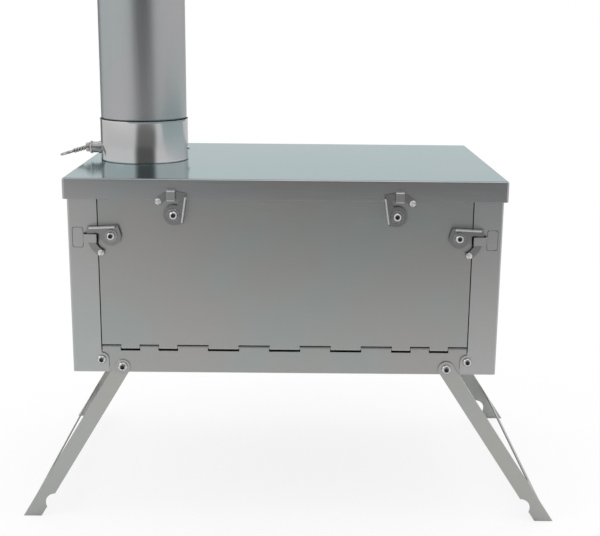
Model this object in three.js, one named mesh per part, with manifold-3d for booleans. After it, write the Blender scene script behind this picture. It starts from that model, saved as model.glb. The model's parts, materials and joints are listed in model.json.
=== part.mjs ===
// A folding sheet-metal tent stove: a box on two swinging leg frames, a skirted lid held by
// turn-latches, and a flue collar with a butterfly damper under the first chimney section.
// Millimetres, +Z up. The origin is on the ground, midway between the outermost points of the feet.
// The long side with the latches in view faces -Y, and a copy of it turned half round faces +Y.

import * as THREE from 'three';
import { mergeVertices } from 'three/addons/utils/BufferGeometryUtils.js';
import Module from 'manifold-3d';

// ---------------------------------------------------------------- driving dimensions

const GAP = 0.3;                 // clearance between pieces that touch
const SHEET = 1;                 // body, base and lid sheet
const BEND = 1.8;                // outside radius of the sheet's bends
const LAP = 2;                   // how far the folds of one sheet run into each other
const THROUGH = 6;               // how far a bore runs past the wall's outer face, both ways

const BODY_LENGTH = 373;         // over the two end panels
const BODY_DEPTH = 253;          // over the two long sides
const BODY_BOTTOM = 140;         // ground to the lower edge of the base
const LID_TOP = 312.5;           // ground to the top of the lid
const LID_OVERLAP = [7, 3];      // lid beyond the body along X and Y, both sides together
const SKIRT = 18;                // height of the lid's skirt
const HEM = 8;                   // stiffening fold along the top of each wall

const BASE_HEIGHT = 19.6;        // lower edge of the base to the firebox floor
const FLANGE = 25.5;             // width of the end panels' flanges on the long sides
const SEAM = 0.5;                // gap between a long panel and the flanges beside it

const PIN_RADIUS = 0.95;         // hinge pin of a long panel
const PIN_CLEARANCE = 0.35;
const KNUCKLE_RADIUS = 1.9;
const KNUCKLES = 15;             // base knuckles and panel knuckles in turn, base ones at both ends
const END_KNUCKLES = 4;          // narrow knuckles at each end of the row
const END_KNUCKLE_LENGTH = 16.6;
const BASE_SEAM = 0.6;           // gap over a base knuckle
const PANEL_SEAM = 1.2;          // gap under a panel knuckle

const SCREW_RADIUS = 2;          // shank of the latch and corner screws
const CORNER_SCREW_INSET = 25.3; // from the end of the body
const CORNER_SCREW_HEIGHT = 11.3; // above the lower edge
const CORNER_HEAD_RADIUS = 4;
const EAR_RADIUS = 6.4;          // rounded ear of the end panel round the corner screw
const WASHER_SHEET = 0.7;
const NUT_HEIGHT = 2.4;
const NUT_RATIO = 1.7;           // nut radius over shank radius
const HEAD_HEIGHT = 2.3;
const HEAD_SIDE = 1;             // straight side under the dome of a screw head
const DOME_RATIO = 0.6;          // flat top of a screw head over the head's radius

const LATCH_SHEET = 1.2;
const LATCH_LIFT = 1.8;          // back of the latch plate over the wall, clear of the lid's skirt
const LATCH_DISC = 8.7;
const LATCH_ARM_INNER = 14.4;
const LATCH_ARM_OUTER = 20.4;
const LATCH_ARM_START = 68;      // degrees, inner end of the slot between disc and arm
const LATCH_ARM_END = 141;       // degrees, tip of the arm
const LATCH_TOE = [7.7, -7.7];   // lower end of the straight thumb edge, from the pivot
const LATCH_HEEL = [11.6, 18.6]; // upper end of that edge
const LATCH_LIP = [0.07, 0.91];  // part of the edge that the thumb lip takes
const LATCH_LIP_HEIGHT = 4.6;    // thumb lip, from the plate's face
const LATCH_TIP_RADIUS = 1;      // curl at the arm's tip
const LATCH_TIP_RISE = 0.9;      // curled tip, from the plate's face
const LATCH_WASHER = 5.6;
const LATCH_HEAD_RADIUS = 3.7;
const SIDE_LATCH_INSET = 37.3;   // pivot from the end of the body
const SIDE_LATCH_DROP = 49.4;    // pivot below the lid's top
const SIDE_LATCH_TURN = 101;     // degrees from the top latches' position
const TOP_LATCH_INSET = 91.2;
const TOP_LATCH_DROP = 30.9;

const KEEPER_WIDTH = 7.2;        // straps that the latch arms pass under
const KEEPER_SHIFT = 1.9;        // strap's centre off the pivot's line, towards the arm's tip
const KEEPER_HEIGHT = 4.2;       // under side of a strap over the wall
const KEEPER_HOOK_RISE = 8.6;    // free end of a lid hook above the skirt's lower edge
const KEEPER_REACH = 11;         // run of a flange strap before it slopes back
const KEEPER_SLOPE = 1.6;        // length of that slope
const KEEPER_HEAD = [8.8, 17.2]; // flush head of a flange strap, along X and Z
const KEEPER_HEAD_CORNER = 1.8;
const KEEPER_FLARE = 0.8;        // outward lean of a lid hook's free edge
const LID_CORNER = 0.6;          // sharp corner of the lid inside its round edge

const LEG_SHEET = 1.2;
const LEG_WIDTH = 14;
const LEG_PIVOT_INSET = 43.8;    // from the end of the body
const LEG_PIVOT_HEIGHT = 5;      // above the lower edge
const LEFT_SPLAY = 31;           // degrees from vertical, frame inside the base
const RIGHT_SPLAY = 33.2;        // degrees from vertical, frame outside the base
const LEG_RIM = 4;               // folded rim along the outer edge of a leg
const LEG_RIM_START = 33;        // below the pivot
const CROSSBAR_HEIGHT = 20;      // lower edge of the crossbar above the ground
const CROSSBAR_WIDTH = 14;
const CROSSBAR_FILLET = 14;
const NOTCH_HEIGHT = 18;         // thumb notch above the sole, along the leg
const NOTCH_RADIUS = 9;
const NOTCH_DEPTH = 4.3;
const LEG_BOLT_RADIUS = 2.5;
const LEG_HEAD_RADIUS = 4.3;
const LEG_WASHER = 6.5;

const FLUE_EDGE = 11.9;          // collar from the lid's left edge
const PIPE_RADIUS = 40.3;
const PIPE_WALL = 0.8;
const PIPE_LENGTH = 330;
const COLLAR_HEIGHT = 39;
const COLLAR_WALL = 0.8;
const COLLAR_LEDGE = 2.2;        // width of the ledge that the pipe stands on
const COLLAR_CLINCH = 3;         // lip folded out under the lid
const ROUND = 32;                // facets of the flue's round parts
const HOLE_FACETS = 8;           // facets of screw holes, shafts and hinge rolls
const SCREW_FACETS = 10;

const SHAFT_HEIGHT = 10.5;       // damper axis above the lid
const SHAFT_RADIUS = 1.6;
const DAMPER_CLEARANCE = 1.9;    // edge of the damper plate from the pipe
const BUSH_RADIUS = 6;
const BUSH_LENGTH = 10.6;
const HUB_RADIUS = 4.3;          // collar of the handle on the shaft
const HUB_LENGTH = 3.6;
const SHAFT_TAIL = 1.6;          // shaft end beyond the collar, away from the handle
const SLEEVE_INSET = 8;          // end of the plate's sleeve from the plate's edge
const WIRE_RADIUS = 0.75;
const WIRE_GAP = 0.25;           // between the two strands of the twist
const WIRE_ROOT = 1;             // the wire's start inside the hub
const TWIST_LENGTH = 13;
const TWIST_TURNS = 2.5;
const LOOP_LENGTH = 12;
const LOOP_WIDTH = 7;
const HANDLE_DROOP = 13;         // degrees

const DOOR_OPENING = [124, 86];  // along Y and Z
const DOOR_OPENING_HEIGHT = 36;  // above the lower edge of the body
const DOOR_LAP = 10;             // door beyond the opening, all round
const DOOR_SHEET = 1.2;
const DOOR_CORNER = 4;
const HINGE_PIN_RADIUS = 1.5;
const HINGE_RADIUS = 3.2;
const HINGE_EYE_LENGTH = 15;
const AIR_HOLE_RADIUS = 5.5;
const AIR_HOLE_PITCH = 24;
const AIR_HOLE_HEIGHT = 12;      // above the lower edge of the opening
const SLIDER = [118, 20];        // along Y and Z
const SLIDER_TRAVEL = 12;
const SLIDER_CORNER = 2;
const SLIDER_TAB = [6, 12];      // height and width of the thumb tab
const RIVET_INSET = 7;           // rivet from the slider's end when the slider is half open
const RIVET_HEAD = 3.6;
const RIVET_HEIGHT = 1.4;
const LEVER_WIDTH = 8;
const LEVER_LENGTH = 27;
const LEVER_INSET = 14;          // pivot from the door's free edge
const LEVER_HUB = 6;
const LEVER_SHOULDER = 40;       // degrees above level where the hub meets the lever's sides
const KNOB_RADIUS = 6.5;
const KNOB_LENGTH = 17;
const CATCH_WIDTH = 6;
const CATCH_GAP = 3;             // from the door's free edge

const GRATE_MARGIN = [73, 63];   // body beyond the grate along X and Y, both sides together
const GRATE_HEIGHT = 14;         // over the floor
const GRATE_SLOT_WIDTH = 8;
const GRATE_SLOT_PITCH = 22;
const GRATE_RIM = 30;            // plain strip round the slots, at least

// ---------------------------------------------------------------- places worked out from them

const HALF_LENGTH = BODY_LENGTH / 2;
const LID_LENGTH = BODY_LENGTH + LID_OVERLAP[0];
const LID_DEPTH = BODY_DEPTH + LID_OVERLAP[1];
const FACE = BODY_DEPTH / 2;                   // outer face of a long side, from the middle
const FLOOR = BODY_BOTTOM + BASE_HEIGHT;
const WALL_TOP = LID_TOP - SHEET - GAP;
const FLANGE_EDGE = HALF_LENGTH - FLANGE;      // inner edge of an end panel's flange
const EAR_EDGE = HALF_LENGTH - CORNER_SCREW_INSET - EAR_RADIUS;
const BASE_EDGE = EAR_EDGE - SEAM;             // end of the base's outer strip
const PIN_HEIGHT = FLOOR + PANEL_SEAM + KNUCKLE_RADIUS;
const CORNER_X = HALF_LENGTH - CORNER_SCREW_INSET;
const CORNER_Z = BODY_BOTTOM + CORNER_SCREW_HEIGHT;
const LEG_X = HALF_LENGTH - LEG_PIVOT_INSET;
const LEG_Z = BODY_BOTTOM + LEG_PIVOT_HEIGHT;
const COLLAR_RADIUS = PIPE_RADIUS + GAP + COLLAR_WALL;
const FLUE_X = FLUE_EDGE + COLLAR_RADIUS - LID_LENGTH / 2;
const DAMPER_PLATE = PIPE_RADIUS - PIPE_WALL - DAMPER_CLEARANCE;   // radius
const FLUE_BORE = PIPE_RADIUS + GAP - COLLAR_LEDGE;   // opening inside the collar's ledge
const SHAFT_Z = LID_TOP + SHAFT_HEIGHT;
const bushEnd = FLUE_X - COLLAR_RADIUS - GAP - BUSH_LENGTH;   // outer end of the damper's bush
const SKIRT_EDGE = LID_TOP - SKIRT;

// How far out a leg's sole reaches from the middle of the body.
const footReach = (splay) => {
  const angle = THREE.MathUtils.degToRad(splay);
  const along = (LEG_Z + LEG_WIDTH / 2 * Math.sin(angle)) / Math.cos(angle);
  return LEG_X + along * Math.sin(angle) + LEG_WIDTH / 2 * Math.cos(angle);
};
const BODY_X = (footReach(LEFT_SPLAY) - footReach(RIGHT_SPLAY)) / 2;

// ---------------------------------------------------------------- materials

const metal = (color, roughness, metalness = 1) =>
  new THREE.MeshStandardMaterial({ color, roughness, metalness });
const satin = metal(0x9a9c9d, 0.38);
const lidMetal = metal(0xa4abae, 0.28);
const pipeMetal = metal(0x9fa3a6, 0.32);
const bright = metal(0xd2d4d6, 0.15);
const legMetal = metal(0xa6a8a2, 0.4);
const wireMetal = metal(0x77797a, 0.3);
const knobMetal = metal(0x6f7172, 0.35);

// ---------------------------------------------------------------- solids

const wasm = await Module();
wasm.setup();

// A closed geometry as a solid that can be joined and cut.
function solid(geometry) {
  const plain = geometry.clone();
  plain.deleteAttribute('normal');
  plain.deleteAttribute('uv');
  const merged = mergeVertices(plain, 1e-5);
  return new wasm.Manifold(new wasm.Mesh({
    numProp: 3,
    vertProperties: new Float32Array(merged.attributes.position.array),
    triVerts: new Uint32Array(merged.index.array),
  }));
}

function mesh(name, body, material) {
  const { vertProperties, triVerts, numProp } = body.getMesh();
  const positions = new Float32Array(vertProperties.length / numProp * 3);
  for (let i = 0; i < positions.length; i += 1) {
    positions[i] = vertProperties[Math.floor(i / 3) * numProp + i % 3];
  }
  const geometry = new THREE.BufferGeometry();
  geometry.setAttribute('position', new THREE.BufferAttribute(positions, 3));
  geometry.setIndex(new THREE.BufferAttribute(new Uint32Array(triVerts), 1));
  geometry.computeVertexNormals();
  const result = new THREE.Mesh(geometry, material);
  result.name = name;
  return result;
}

const join = (bodies) => bodies.reduce((sum, body) => sum.add(body));
const cut = (body, tools) => tools.reduce((rest, tool) => rest.subtract(tool), body);

function box([x0, x1], [y0, y1], [z0, z1]) {
  const geometry = new THREE.BoxGeometry(x1 - x0, y1 - y0, z1 - z0);
  return solid(geometry.translate((x0 + x1) / 2, (y0 + y1) / 2, (z0 + z1) / 2));
}

// A round bar along an axis; u and v are its centre in the two other axes, in X, Y, Z order.
function bar(axis, u, v, radius, [from, to], facets = HOLE_FACETS) {
  const geometry = new THREE.CylinderGeometry(radius, radius, to - from, facets);
  const middle = (from + to) / 2;
  if (axis === 'x') geometry.rotateZ(-Math.PI / 2).translate(middle, u, v);
  if (axis === 'y') geometry.translate(u, middle, v);
  if (axis === 'z') geometry.rotateX(Math.PI / 2).translate(u, v, middle);
  return solid(geometry);
}

// A bore for a round shank: its flats stand off the shank by the clearance.
const bore = (axis, u, v, shank, range, clearance = GAP) =>
  bar(axis, u, v, (shank + clearance) / Math.cos(Math.PI / HOLE_FACETS), range);

// A bore through the outer wall of the -Y side.
const wallBore = (x, z, shank) => bore('y', x, z, shank, [-FACE - THROUGH, -FACE + THROUGH]);

const extruded = (shape, depth, curveSegments = 8) =>
  new THREE.ExtrudeGeometry(shape, { depth, bevelEnabled: false, curveSegments });

// A shape drawn in X and Z, thickened along Y.
const plateXZ = (shape, [y0, y1], curveSegments) =>
  solid(extruded(shape, y1 - y0, curveSegments).rotateX(Math.PI / 2).translate(0, y1, 0));

// A shape drawn in Y and Z, thickened along X.
const plateYZ = (shape, [x0, x1], curveSegments) =>
  solid(extruded(shape, x1 - x0, curveSegments).rotateX(Math.PI / 2).rotateZ(Math.PI / 2).translate(x0, 0, 0));

// A shape drawn in X and Y, thickened along Z.
const plateXY = (shape, [z0, z1], curveSegments) =>
  solid(extruded(shape, z1 - z0, curveSegments).translate(0, 0, z0));

function polygon(points) {
  return new THREE.Shape(points.map(([x, y]) => new THREE.Vector2(x, y)));
}

function roundedRectangle([x0, x1], [y0, y1], radius) {
  const shape = new THREE.Shape();
  shape.moveTo(x0 + radius, y0);
  shape.absarc(x1 - radius, y0 + radius, radius, -Math.PI / 2, 0);
  shape.absarc(x1 - radius, y1 - radius, radius, 0, Math.PI / 2);
  shape.absarc(x0 + radius, y1 - radius, radius, Math.PI / 2, Math.PI);
  shape.absarc(x0 + radius, y0 + radius, radius, Math.PI, Math.PI * 1.5);
  return shape;
}

const lathe = (profile, facets) => {
  const geometry = new THREE.LatheGeometry(profile.map(([r, z]) => new THREE.Vector2(r, z)), facets);
  return solid(geometry.rotateX(Math.PI / 2));
};

// A domed screw along -Y with its head outside: lifts are measured outwards from the wall's face,
// and the nut sits on the inner side.
function screw(x, z, { shank, head, washer, seat, nutSeat }) {
  const nut = shank * NUT_RATIO;
  const headSeat = seat + (washer ? WASHER_SHEET : 0);
  const profile = [[0, nutSeat - NUT_HEIGHT], [nut, nutSeat - NUT_HEIGHT], [nut, nutSeat], [shank, nutSeat]];
  profile.push([shank, seat]);
  if (washer) profile.push([washer, seat], [washer, headSeat]);
  profile.push([head, headSeat], [head, headSeat + HEAD_SIDE]);
  profile.push([head * DOME_RATIO, headSeat + HEAD_HEIGHT], [0, headSeat + HEAD_HEIGHT]);
  const geometry = new THREE.LatheGeometry(profile.map(([r, w]) => new THREE.Vector2(r, w)), SCREW_FACETS);
  return solid(geometry.rotateX(Math.PI).translate(x, -FACE, z));
}

// ---------------------------------------------------------------- base

// The knuckle row along a long side: X ranges from left to right.
function knuckleRanges() {
  const row = 2 * (FLANGE_EDGE - SEAM);
  const longCount = KNUCKLES - 2 * END_KNUCKLES;
  const longLength = (row - 2 * END_KNUCKLES * END_KNUCKLE_LENGTH) / longCount;
  const ranges = [];
  let x = -row / 2;
  for (let i = 0; i < KNUCKLES; i += 1) {
    const narrow = i < END_KNUCKLES || i >= KNUCKLES - END_KNUCKLES;
    const length = narrow ? END_KNUCKLE_LENGTH : longLength;
    ranges.push([x + GAP, x + length - GAP]);
    x += length;
  }
  return ranges;
}

// One knuckle: the sheet reaching the pin from above or below, rolled round it.
function knuckle(range, [z0, z1]) {
  const centre = -FACE + KNUCKLE_RADIUS;
  const roll = bar('x', centre, PIN_HEIGHT, KNUCKLE_RADIUS, range);
  const tongue = box(range, [-FACE, -FACE + SHEET], [z0, z1]);
  return roll.add(tongue);
}

const pinBore = () => bore('x', -FACE + KNUCKLE_RADIUS, PIN_HEIGHT, PIN_RADIUS,
  [-HALF_LENGTH, HALF_LENGTH], PIN_CLEARANCE);

function baseTray() {
  const inner = FACE - SHEET - GAP;
  const end = HALF_LENGTH - SHEET - GAP;
  const floor = box([-end, end], [-inner, inner], [FLOOR - SHEET, FLOOR]);
  const middle = box([-BASE_EDGE, BASE_EDGE], [-FACE, FACE], [FLOOR - SHEET, FLOOR]);
  const pieces = [floor, middle];
  for (const side of [-1, 1]) {
    const skirt = [side * end, side * (end - SHEET)].sort((a, b) => a - b);
    pieces.push(box(skirt, [-inner + HEM, inner - HEM], [BODY_BOTTOM + LAP, FLOOR]));
  }
  const bores = [];
  for (const turn of [0, 180]) {
    const strip = box([-BASE_EDGE, BASE_EDGE], [-FACE, -FACE + SHEET], [BODY_BOTTOM, FLOOR]);
    pieces.push(strip.rotate([0, 0, turn]));
    knuckleRanges().forEach((range, i) => {
      if (i % 2 === 0) pieces.push(knuckle(range, [FLOOR - SHEET, PIN_HEIGHT]).rotate([0, 0, turn]));
    });
    for (const side of [-1, 1]) {
      const across = [side * (BASE_EDGE - LAP), side * (CORNER_X + EAR_RADIUS)].sort((a, b) => a - b);
      const lug = box(across, [-inner, -inner + SHEET], [LEG_Z, FLOOR]);
      pieces.push(lug.rotate([0, 0, turn]));
      const corner = wallBore(side * CORNER_X, CORNER_Z, SCREW_RADIUS);
      const leg = wallBore(side * LEG_X, LEG_Z, LEG_BOLT_RADIUS);
      bores.push(corner.rotate([0, 0, turn]), leg.rotate([0, 0, turn]));
    }
    bores.push(pinBore().rotate([0, 0, turn]));
  }
  return mesh('base_tray', cut(join(pieces), bores), satin);
}

// ---------------------------------------------------------------- long sides

function longPanel(name) {
  const edge = FLANGE_EDGE - SEAM;
  const outer = [-FACE, -FACE + SHEET];
  const lower = PIN_HEIGHT + KNUCKLE_RADIUS + BASE_SEAM;
  const wall = box([-edge, edge], outer, [lower, WALL_TOP]);
  const hem = box([-edge, edge], [-FACE, -FACE + HEM], [WALL_TOP - SHEET, WALL_TOP]);
  const pieces = [wall, hem];
  knuckleRanges().forEach((range, i) => {
    if (i % 2 === 1) pieces.push(knuckle(range, [PIN_HEIGHT, lower + SHEET]));
  });
  const bores = latchSites().map(({ x, z }) => wallBore(x, z, SCREW_RADIUS));
  return mesh(name, cut(join(pieces), [...bores, pinBore()]), satin);
}

const hingePin = (name) => mesh(name, bar('x', -FACE + KNUCKLE_RADIUS, PIN_HEIGHT, PIN_RADIUS,
  [-FLANGE_EDGE + SEAM + GAP, FLANGE_EDGE - SEAM - GAP]), bright);

// The four turn-latches of one long side. hand is +1 where the arm's tip points left.
function latchSites() {
  const sideX = HALF_LENGTH - SIDE_LATCH_INSET;
  const topX = HALF_LENGTH - TOP_LATCH_INSET;
  const sideZ = LID_TOP - SIDE_LATCH_DROP;
  const topZ = LID_TOP - TOP_LATCH_DROP;
  return [
    { place: 'left', hand: 1, turn: SIDE_LATCH_TURN, x: -sideX, z: sideZ },
    { place: 'top_left', hand: 1, turn: 0, x: -topX, z: topZ },
    { place: 'top_right', hand: -1, turn: 0, x: topX, z: topZ },
    { place: 'right', hand: -1, turn: SIDE_LATCH_TURN, x: sideX, z: sideZ },
  ];
}

// Outline of a latch: disc, straight thumb edge and hooked arm, seen from outside.
function latchOutline() {
  const point = (radius, degrees) => {
    const angle = THREE.MathUtils.degToRad(degrees);
    return [radius * Math.cos(angle), radius * Math.sin(angle)];
  };
  const rad = THREE.MathUtils.degToRad;
  const shape = new THREE.Shape();
  shape.moveTo(...LATCH_TOE);
  shape.lineTo(...LATCH_HEEL);
  shape.absarc(0, 0, LATCH_ARM_OUTER, rad(80), rad(LATCH_ARM_END));
  shape.lineTo(...point(LATCH_ARM_INNER, LATCH_ARM_END + 4));
  shape.absarc(0, 0, LATCH_ARM_INNER, rad(LATCH_ARM_END + 4), rad(LATCH_ARM_START), true);
  shape.lineTo(...point(LATCH_DISC, LATCH_ARM_START));
  shape.absarc(0, 0, LATCH_DISC, rad(LATCH_ARM_START), rad(275));
  return shape;
}

function latch(name, { hand, turn, x, z }) {
  const plate = solid(extruded(latchOutline(), LATCH_SHEET, 6).translate(0, 0, LATCH_LIFT));
  const onEdge = (k) => LATCH_TOE.map((from, i) => from + (LATCH_HEEL[i] - from) * k);
  const [foot, head] = LATCH_LIP.map(onEdge);
  const lip = polygon([foot, head, [head[0] - LATCH_SHEET, head[1]], [foot[0] - LATCH_SHEET, foot[1]]]);
  const lipDepth = LATCH_SHEET + LATCH_LIP_HEIGHT;
  const thumbLip = solid(extruded(lip, lipDepth).translate(0, 0, LATCH_LIFT));
  const tipLength = LATCH_ARM_OUTER - LATCH_ARM_INNER - GAP;
  const tip = new THREE.CylinderGeometry(LATCH_TIP_RADIUS, LATCH_TIP_RADIUS, tipLength, 6);
  tip.rotateZ(-Math.PI / 2).translate((LATCH_ARM_OUTER + LATCH_ARM_INNER - GAP) / 2, 0, 0);
  tip.rotateZ(THREE.MathUtils.degToRad(LATCH_ARM_END));
  tip.translate(0, 0, LATCH_LIFT + LATCH_SHEET + LATCH_TIP_RISE - LATCH_TIP_RADIUS);
  const hub = bar('z', 0, 0, LATCH_WASHER, [GAP, LATCH_LIFT + LATCH_SHEET / 2], SCREW_FACETS);
  const hole = bore('z', 0, 0, SCREW_RADIUS, [-THROUGH, THROUGH]);
  let body = cut(join([plate, thumbLip, solid(tip), hub]), [hole]);
  if (hand < 0) body = body.mirror([1, 0, 0]);
  body = body.rotate([0, 0, hand * turn]).rotate([90, 0, 0]).translate([x, -FACE, z]);
  return mesh(name, body, satin);
}

function longSide(side) {
  const group = new THREE.Group();
  if (side === 'back') group.rotation.z = Math.PI;
  group.add(longPanel(`${side}_panel`), hingePin(`${side}_hinge_pin`));
  for (const site of latchSites()) {
    group.add(latch(`latch_${side}_${site.place}`, site));
    const body = screw(site.x, site.z, {
      shank: SCREW_RADIUS,
      head: LATCH_HEAD_RADIUS,
      washer: LATCH_WASHER,
      seat: LATCH_LIFT + LATCH_SHEET + GAP,
      nutSeat: -SHEET - GAP,
    });
    group.add(mesh(`latch_screw_${side}_${site.place}`, body, bright));
  }
  return group;
}

// Corner screws and leg bolts of one long side. On the back the frames swap ends.
function lowerFixings(side) {
  const group = new THREE.Group();
  if (side === 'back') group.rotation.z = Math.PI;
  for (const end of ['left', 'right']) {
    const towards = (end === 'left' ? -1 : 1) * (side === 'back' ? -1 : 1);
    const corner = screw(towards * CORNER_X, CORNER_Z, {
      shank: SCREW_RADIUS,
      head: CORNER_HEAD_RADIUS,
      washer: 0,
      seat: GAP,
      nutSeat: -2 * SHEET - 2 * GAP,
    });
    const inside = end === 'left';
    const bolt = screw(towards * LEG_X, LEG_Z, {
      shank: LEG_BOLT_RADIUS,
      head: LEG_HEAD_RADIUS,
      washer: inside ? LEG_WASHER : 0,
      seat: inside ? GAP : 2 * GAP + LEG_SHEET,
      nutSeat: inside ? -SHEET - 2 * GAP - LEG_SHEET : -SHEET - GAP,
    });
    group.add(mesh(`corner_screw_${side}_${end}`, corner, bright));
    group.add(mesh(`leg_bolt_${side}_${end}`, bolt, bright));
  }
  return group;
}

// ---------------------------------------------------------------- end panels

// The strap on a flange: it rises from the flange's inner edge, runs over the latch arm and slopes
// back to a flush head in a window of the flange. Drawn for the left end of the -Y side.
function flangeKeeper(z) {
  const start = -FLANGE_EDGE;
  const fold = start - KEEPER_REACH;
  const foot = fold - KEEPER_SLOPE;
  const slant = SHEET * 0.7;       // the sheet's inner side on the slope
  const back = -FACE + SHEET;
  const under = -FACE - KEEPER_HEIGHT;
  const over = under - SHEET;
  const line = polygon([
    [start, back], [start, over], [fold, over], [foot, -FACE], [foot - KEEPER_SLOPE, -FACE],
    [foot - KEEPER_SLOPE, back], [foot + slant, back], [fold + slant, under], [start - SHEET, under],
    [start - SHEET, back],
  ]);
  const strap = plateXY(line, [z - KEEPER_WIDTH / 2, z + KEEPER_WIDTH / 2]);
  const headX = [foot - KEEPER_HEAD[0], foot];
  const headZ = [z - KEEPER_HEAD[1] / 2, z + KEEPER_HEAD[1] / 2];
  const head = plateXZ(roundedRectangle(headX, headZ, KEEPER_HEAD_CORNER), [-FACE, -FACE + SHEET], 3);
  const grow = ([a, b]) => [a - GAP, b + GAP];
  const wall = [-FACE - SHEET, -FACE + 2 * SHEET];
  const window = plateXZ(roundedRectangle(grow(headX), grow(headZ), KEEPER_HEAD_CORNER), wall, 3);
  const neckX = [foot - SHEET, fold + slant + GAP];
  const neck = box(neckX, wall, grow([z - KEEPER_WIDTH / 2, z + KEEPER_WIDTH / 2]));
  return { strap: strap.add(head), window: window.add(neck) };
}

// The left end panel's channel: web, two flanges with their ears, hem and keepers.
function endChannel() {
  const plan = new THREE.Shape();
  const x0 = -HALF_LENGTH;
  plan.moveTo(-FLANGE_EDGE, -FACE);
  plan.lineTo(-FLANGE_EDGE, -FACE + SHEET);
  plan.absarc(x0 + BEND, -FACE + BEND, BEND - SHEET, -Math.PI / 2, Math.PI, true);
  plan.absarc(x0 + BEND, FACE - BEND, BEND - SHEET, Math.PI, Math.PI / 2, true);
  plan.lineTo(-FLANGE_EDGE, FACE - SHEET);
  plan.lineTo(-FLANGE_EDGE, FACE);
  plan.absarc(x0 + BEND, FACE - BEND, BEND, Math.PI / 2, Math.PI);
  plan.absarc(x0 + BEND, -FACE + BEND, BEND, Math.PI, Math.PI * 1.5);
  const channel = plateXY(plan, [BODY_BOTTOM, WALL_TOP], 3);
  const hem = box([x0 + SHEET / 2, x0 + HEM], [-FACE + BEND, FACE - BEND], [WALL_TOP - SHEET, WALL_TOP]);
  const pieces = [channel, hem];
  const cuts = [];
  for (const side of [-1, 1]) {
    const thickness = side < 0 ? [-FACE, -FACE + SHEET] : [FACE - SHEET, FACE];
    pieces.push(bar('y', -CORNER_X, CORNER_Z, EAR_RADIUS, thickness, 16));
    pieces.push(box([-CORNER_X, -EAR_EDGE], thickness, [BODY_BOTTOM, CORNER_Z]));
    cuts.push(bore('y', -CORNER_X, CORNER_Z, SCREW_RADIUS, [side * FACE - THROUGH, side * FACE + THROUGH]));
    const keeper = flangeKeeper(LID_TOP - SIDE_LATCH_DROP - KEEPER_SHIFT);
    const facing = (body) => (side < 0 ? body : body.mirror([0, 1, 0]));
    pieces.push(facing(keeper.strap));
    cuts.push(facing(keeper.window).subtract(facing(keeper.strap)));
  }
  return cut(join(pieces), cuts);
}

function rightEndPanel() {
  const { opening } = doorPlaces();
  const window = box([HALF_LENGTH - THROUGH, HALF_LENGTH + THROUGH], opening.y, opening.z);
  const pieces = [endChannel().mirror([1, 0, 0]).subtract(window)];
  for (const range of doorPlaces().panelEyes) pieces.push(hingeEye(range, -HINGE_RADIUS, 0));
  pieces.push(doorCatch());
  return mesh('right_end_panel', cut(join(pieces), [hingeBore()]), satin);
}

// ---------------------------------------------------------------- door in the right end panel

function doorPlaces() {
  const bottom = BODY_BOTTOM + DOOR_OPENING_HEIGHT;
  const opening = {
    y: [-DOOR_OPENING[0] / 2, DOOR_OPENING[0] / 2],
    z: [bottom, bottom + DOOR_OPENING[1]],
  };
  const door = {
    y: [opening.y[0] - DOOR_LAP, opening.y[1] + DOOR_LAP],
    z: [opening.z[0] - DOOR_LAP, opening.z[1] + DOOR_LAP],
    x: [HALF_LENGTH + GAP, HALF_LENGTH + GAP + DOOR_SHEET],
  };
  const hinge = { x: HALF_LENGTH + GAP + HINGE_RADIUS, y: door.y[0] - HINGE_RADIUS - 2 * GAP };
  const middle = (opening.z[0] + opening.z[1]) / 2;
  const doorEye = [middle - HINGE_EYE_LENGTH, middle + HINGE_EYE_LENGTH];
  const panelEyes = [
    [doorEye[0] - GAP - HINGE_EYE_LENGTH, doorEye[0] - GAP],
    [doorEye[1] + GAP, doorEye[1] + GAP + HINGE_EYE_LENGTH],
  ];
  const lever = { y: door.y[1] - LEVER_INSET, z: middle, x: door.x[1] + GAP };
  const air = { z: opening.z[0] + AIR_HOLE_HEIGHT, x: door.x[1] + GAP };
  return { opening, door, hinge, middle, doorEye, panelEyes, lever, air };
}

const hingeBore = () => {
  const { hinge, opening } = doorPlaces();
  return bore('z', hinge.x, hinge.y, HINGE_PIN_RADIUS, opening.z);
};

// A rolled eye on the hinge line, with a flat tongue to the sheet that carries it.
function hingeEye(range, y0, y1) {
  const { hinge } = doorPlaces();
  const roll = bar('z', hinge.x, hinge.y, HINGE_RADIUS, range, SCREW_FACETS);
  const tongue = box([HALF_LENGTH - SHEET / 2, hinge.x], [hinge.y + y0, hinge.y + y1], range);
  return roll.add(tongue);
}

// The hook on the end panel that the lever's nose drops into, open at the top.
function doorCatch() {
  const { door, lever } = doorPlaces();
  const y = [door.y[1] + CATCH_GAP, door.y[1] + CATCH_GAP + CATCH_WIDTH];
  const seat = lever.z - LEVER_WIDTH / 2 - GAP;
  const out = lever.x + DOOR_SHEET + GAP;
  const foot = box([HALF_LENGTH - SHEET / 2, out + SHEET], y, [seat - SHEET, seat]);
  const upright = box([out, out + SHEET], y, [seat - SHEET, seat + LEVER_WIDTH + LAP]);
  return foot.add(upright);
}

// Span along X of a bore through the door and what lies on it.
const doorDepth = [HALF_LENGTH - THROUGH, HALF_LENGTH + THROUGH];

function airHoles(shift) {
  const { air } = doorPlaces();
  return [-1, 0, 1].map((i) => bar('x', i * AIR_HOLE_PITCH + shift, air.z, AIR_HOLE_RADIUS, doorDepth, 12));
}

// The two rivets stand this far either side of the door's middle.
const rivetY = SLIDER[0] / 2 - SLIDER_TRAVEL / 2 - RIVET_INSET;

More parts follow.
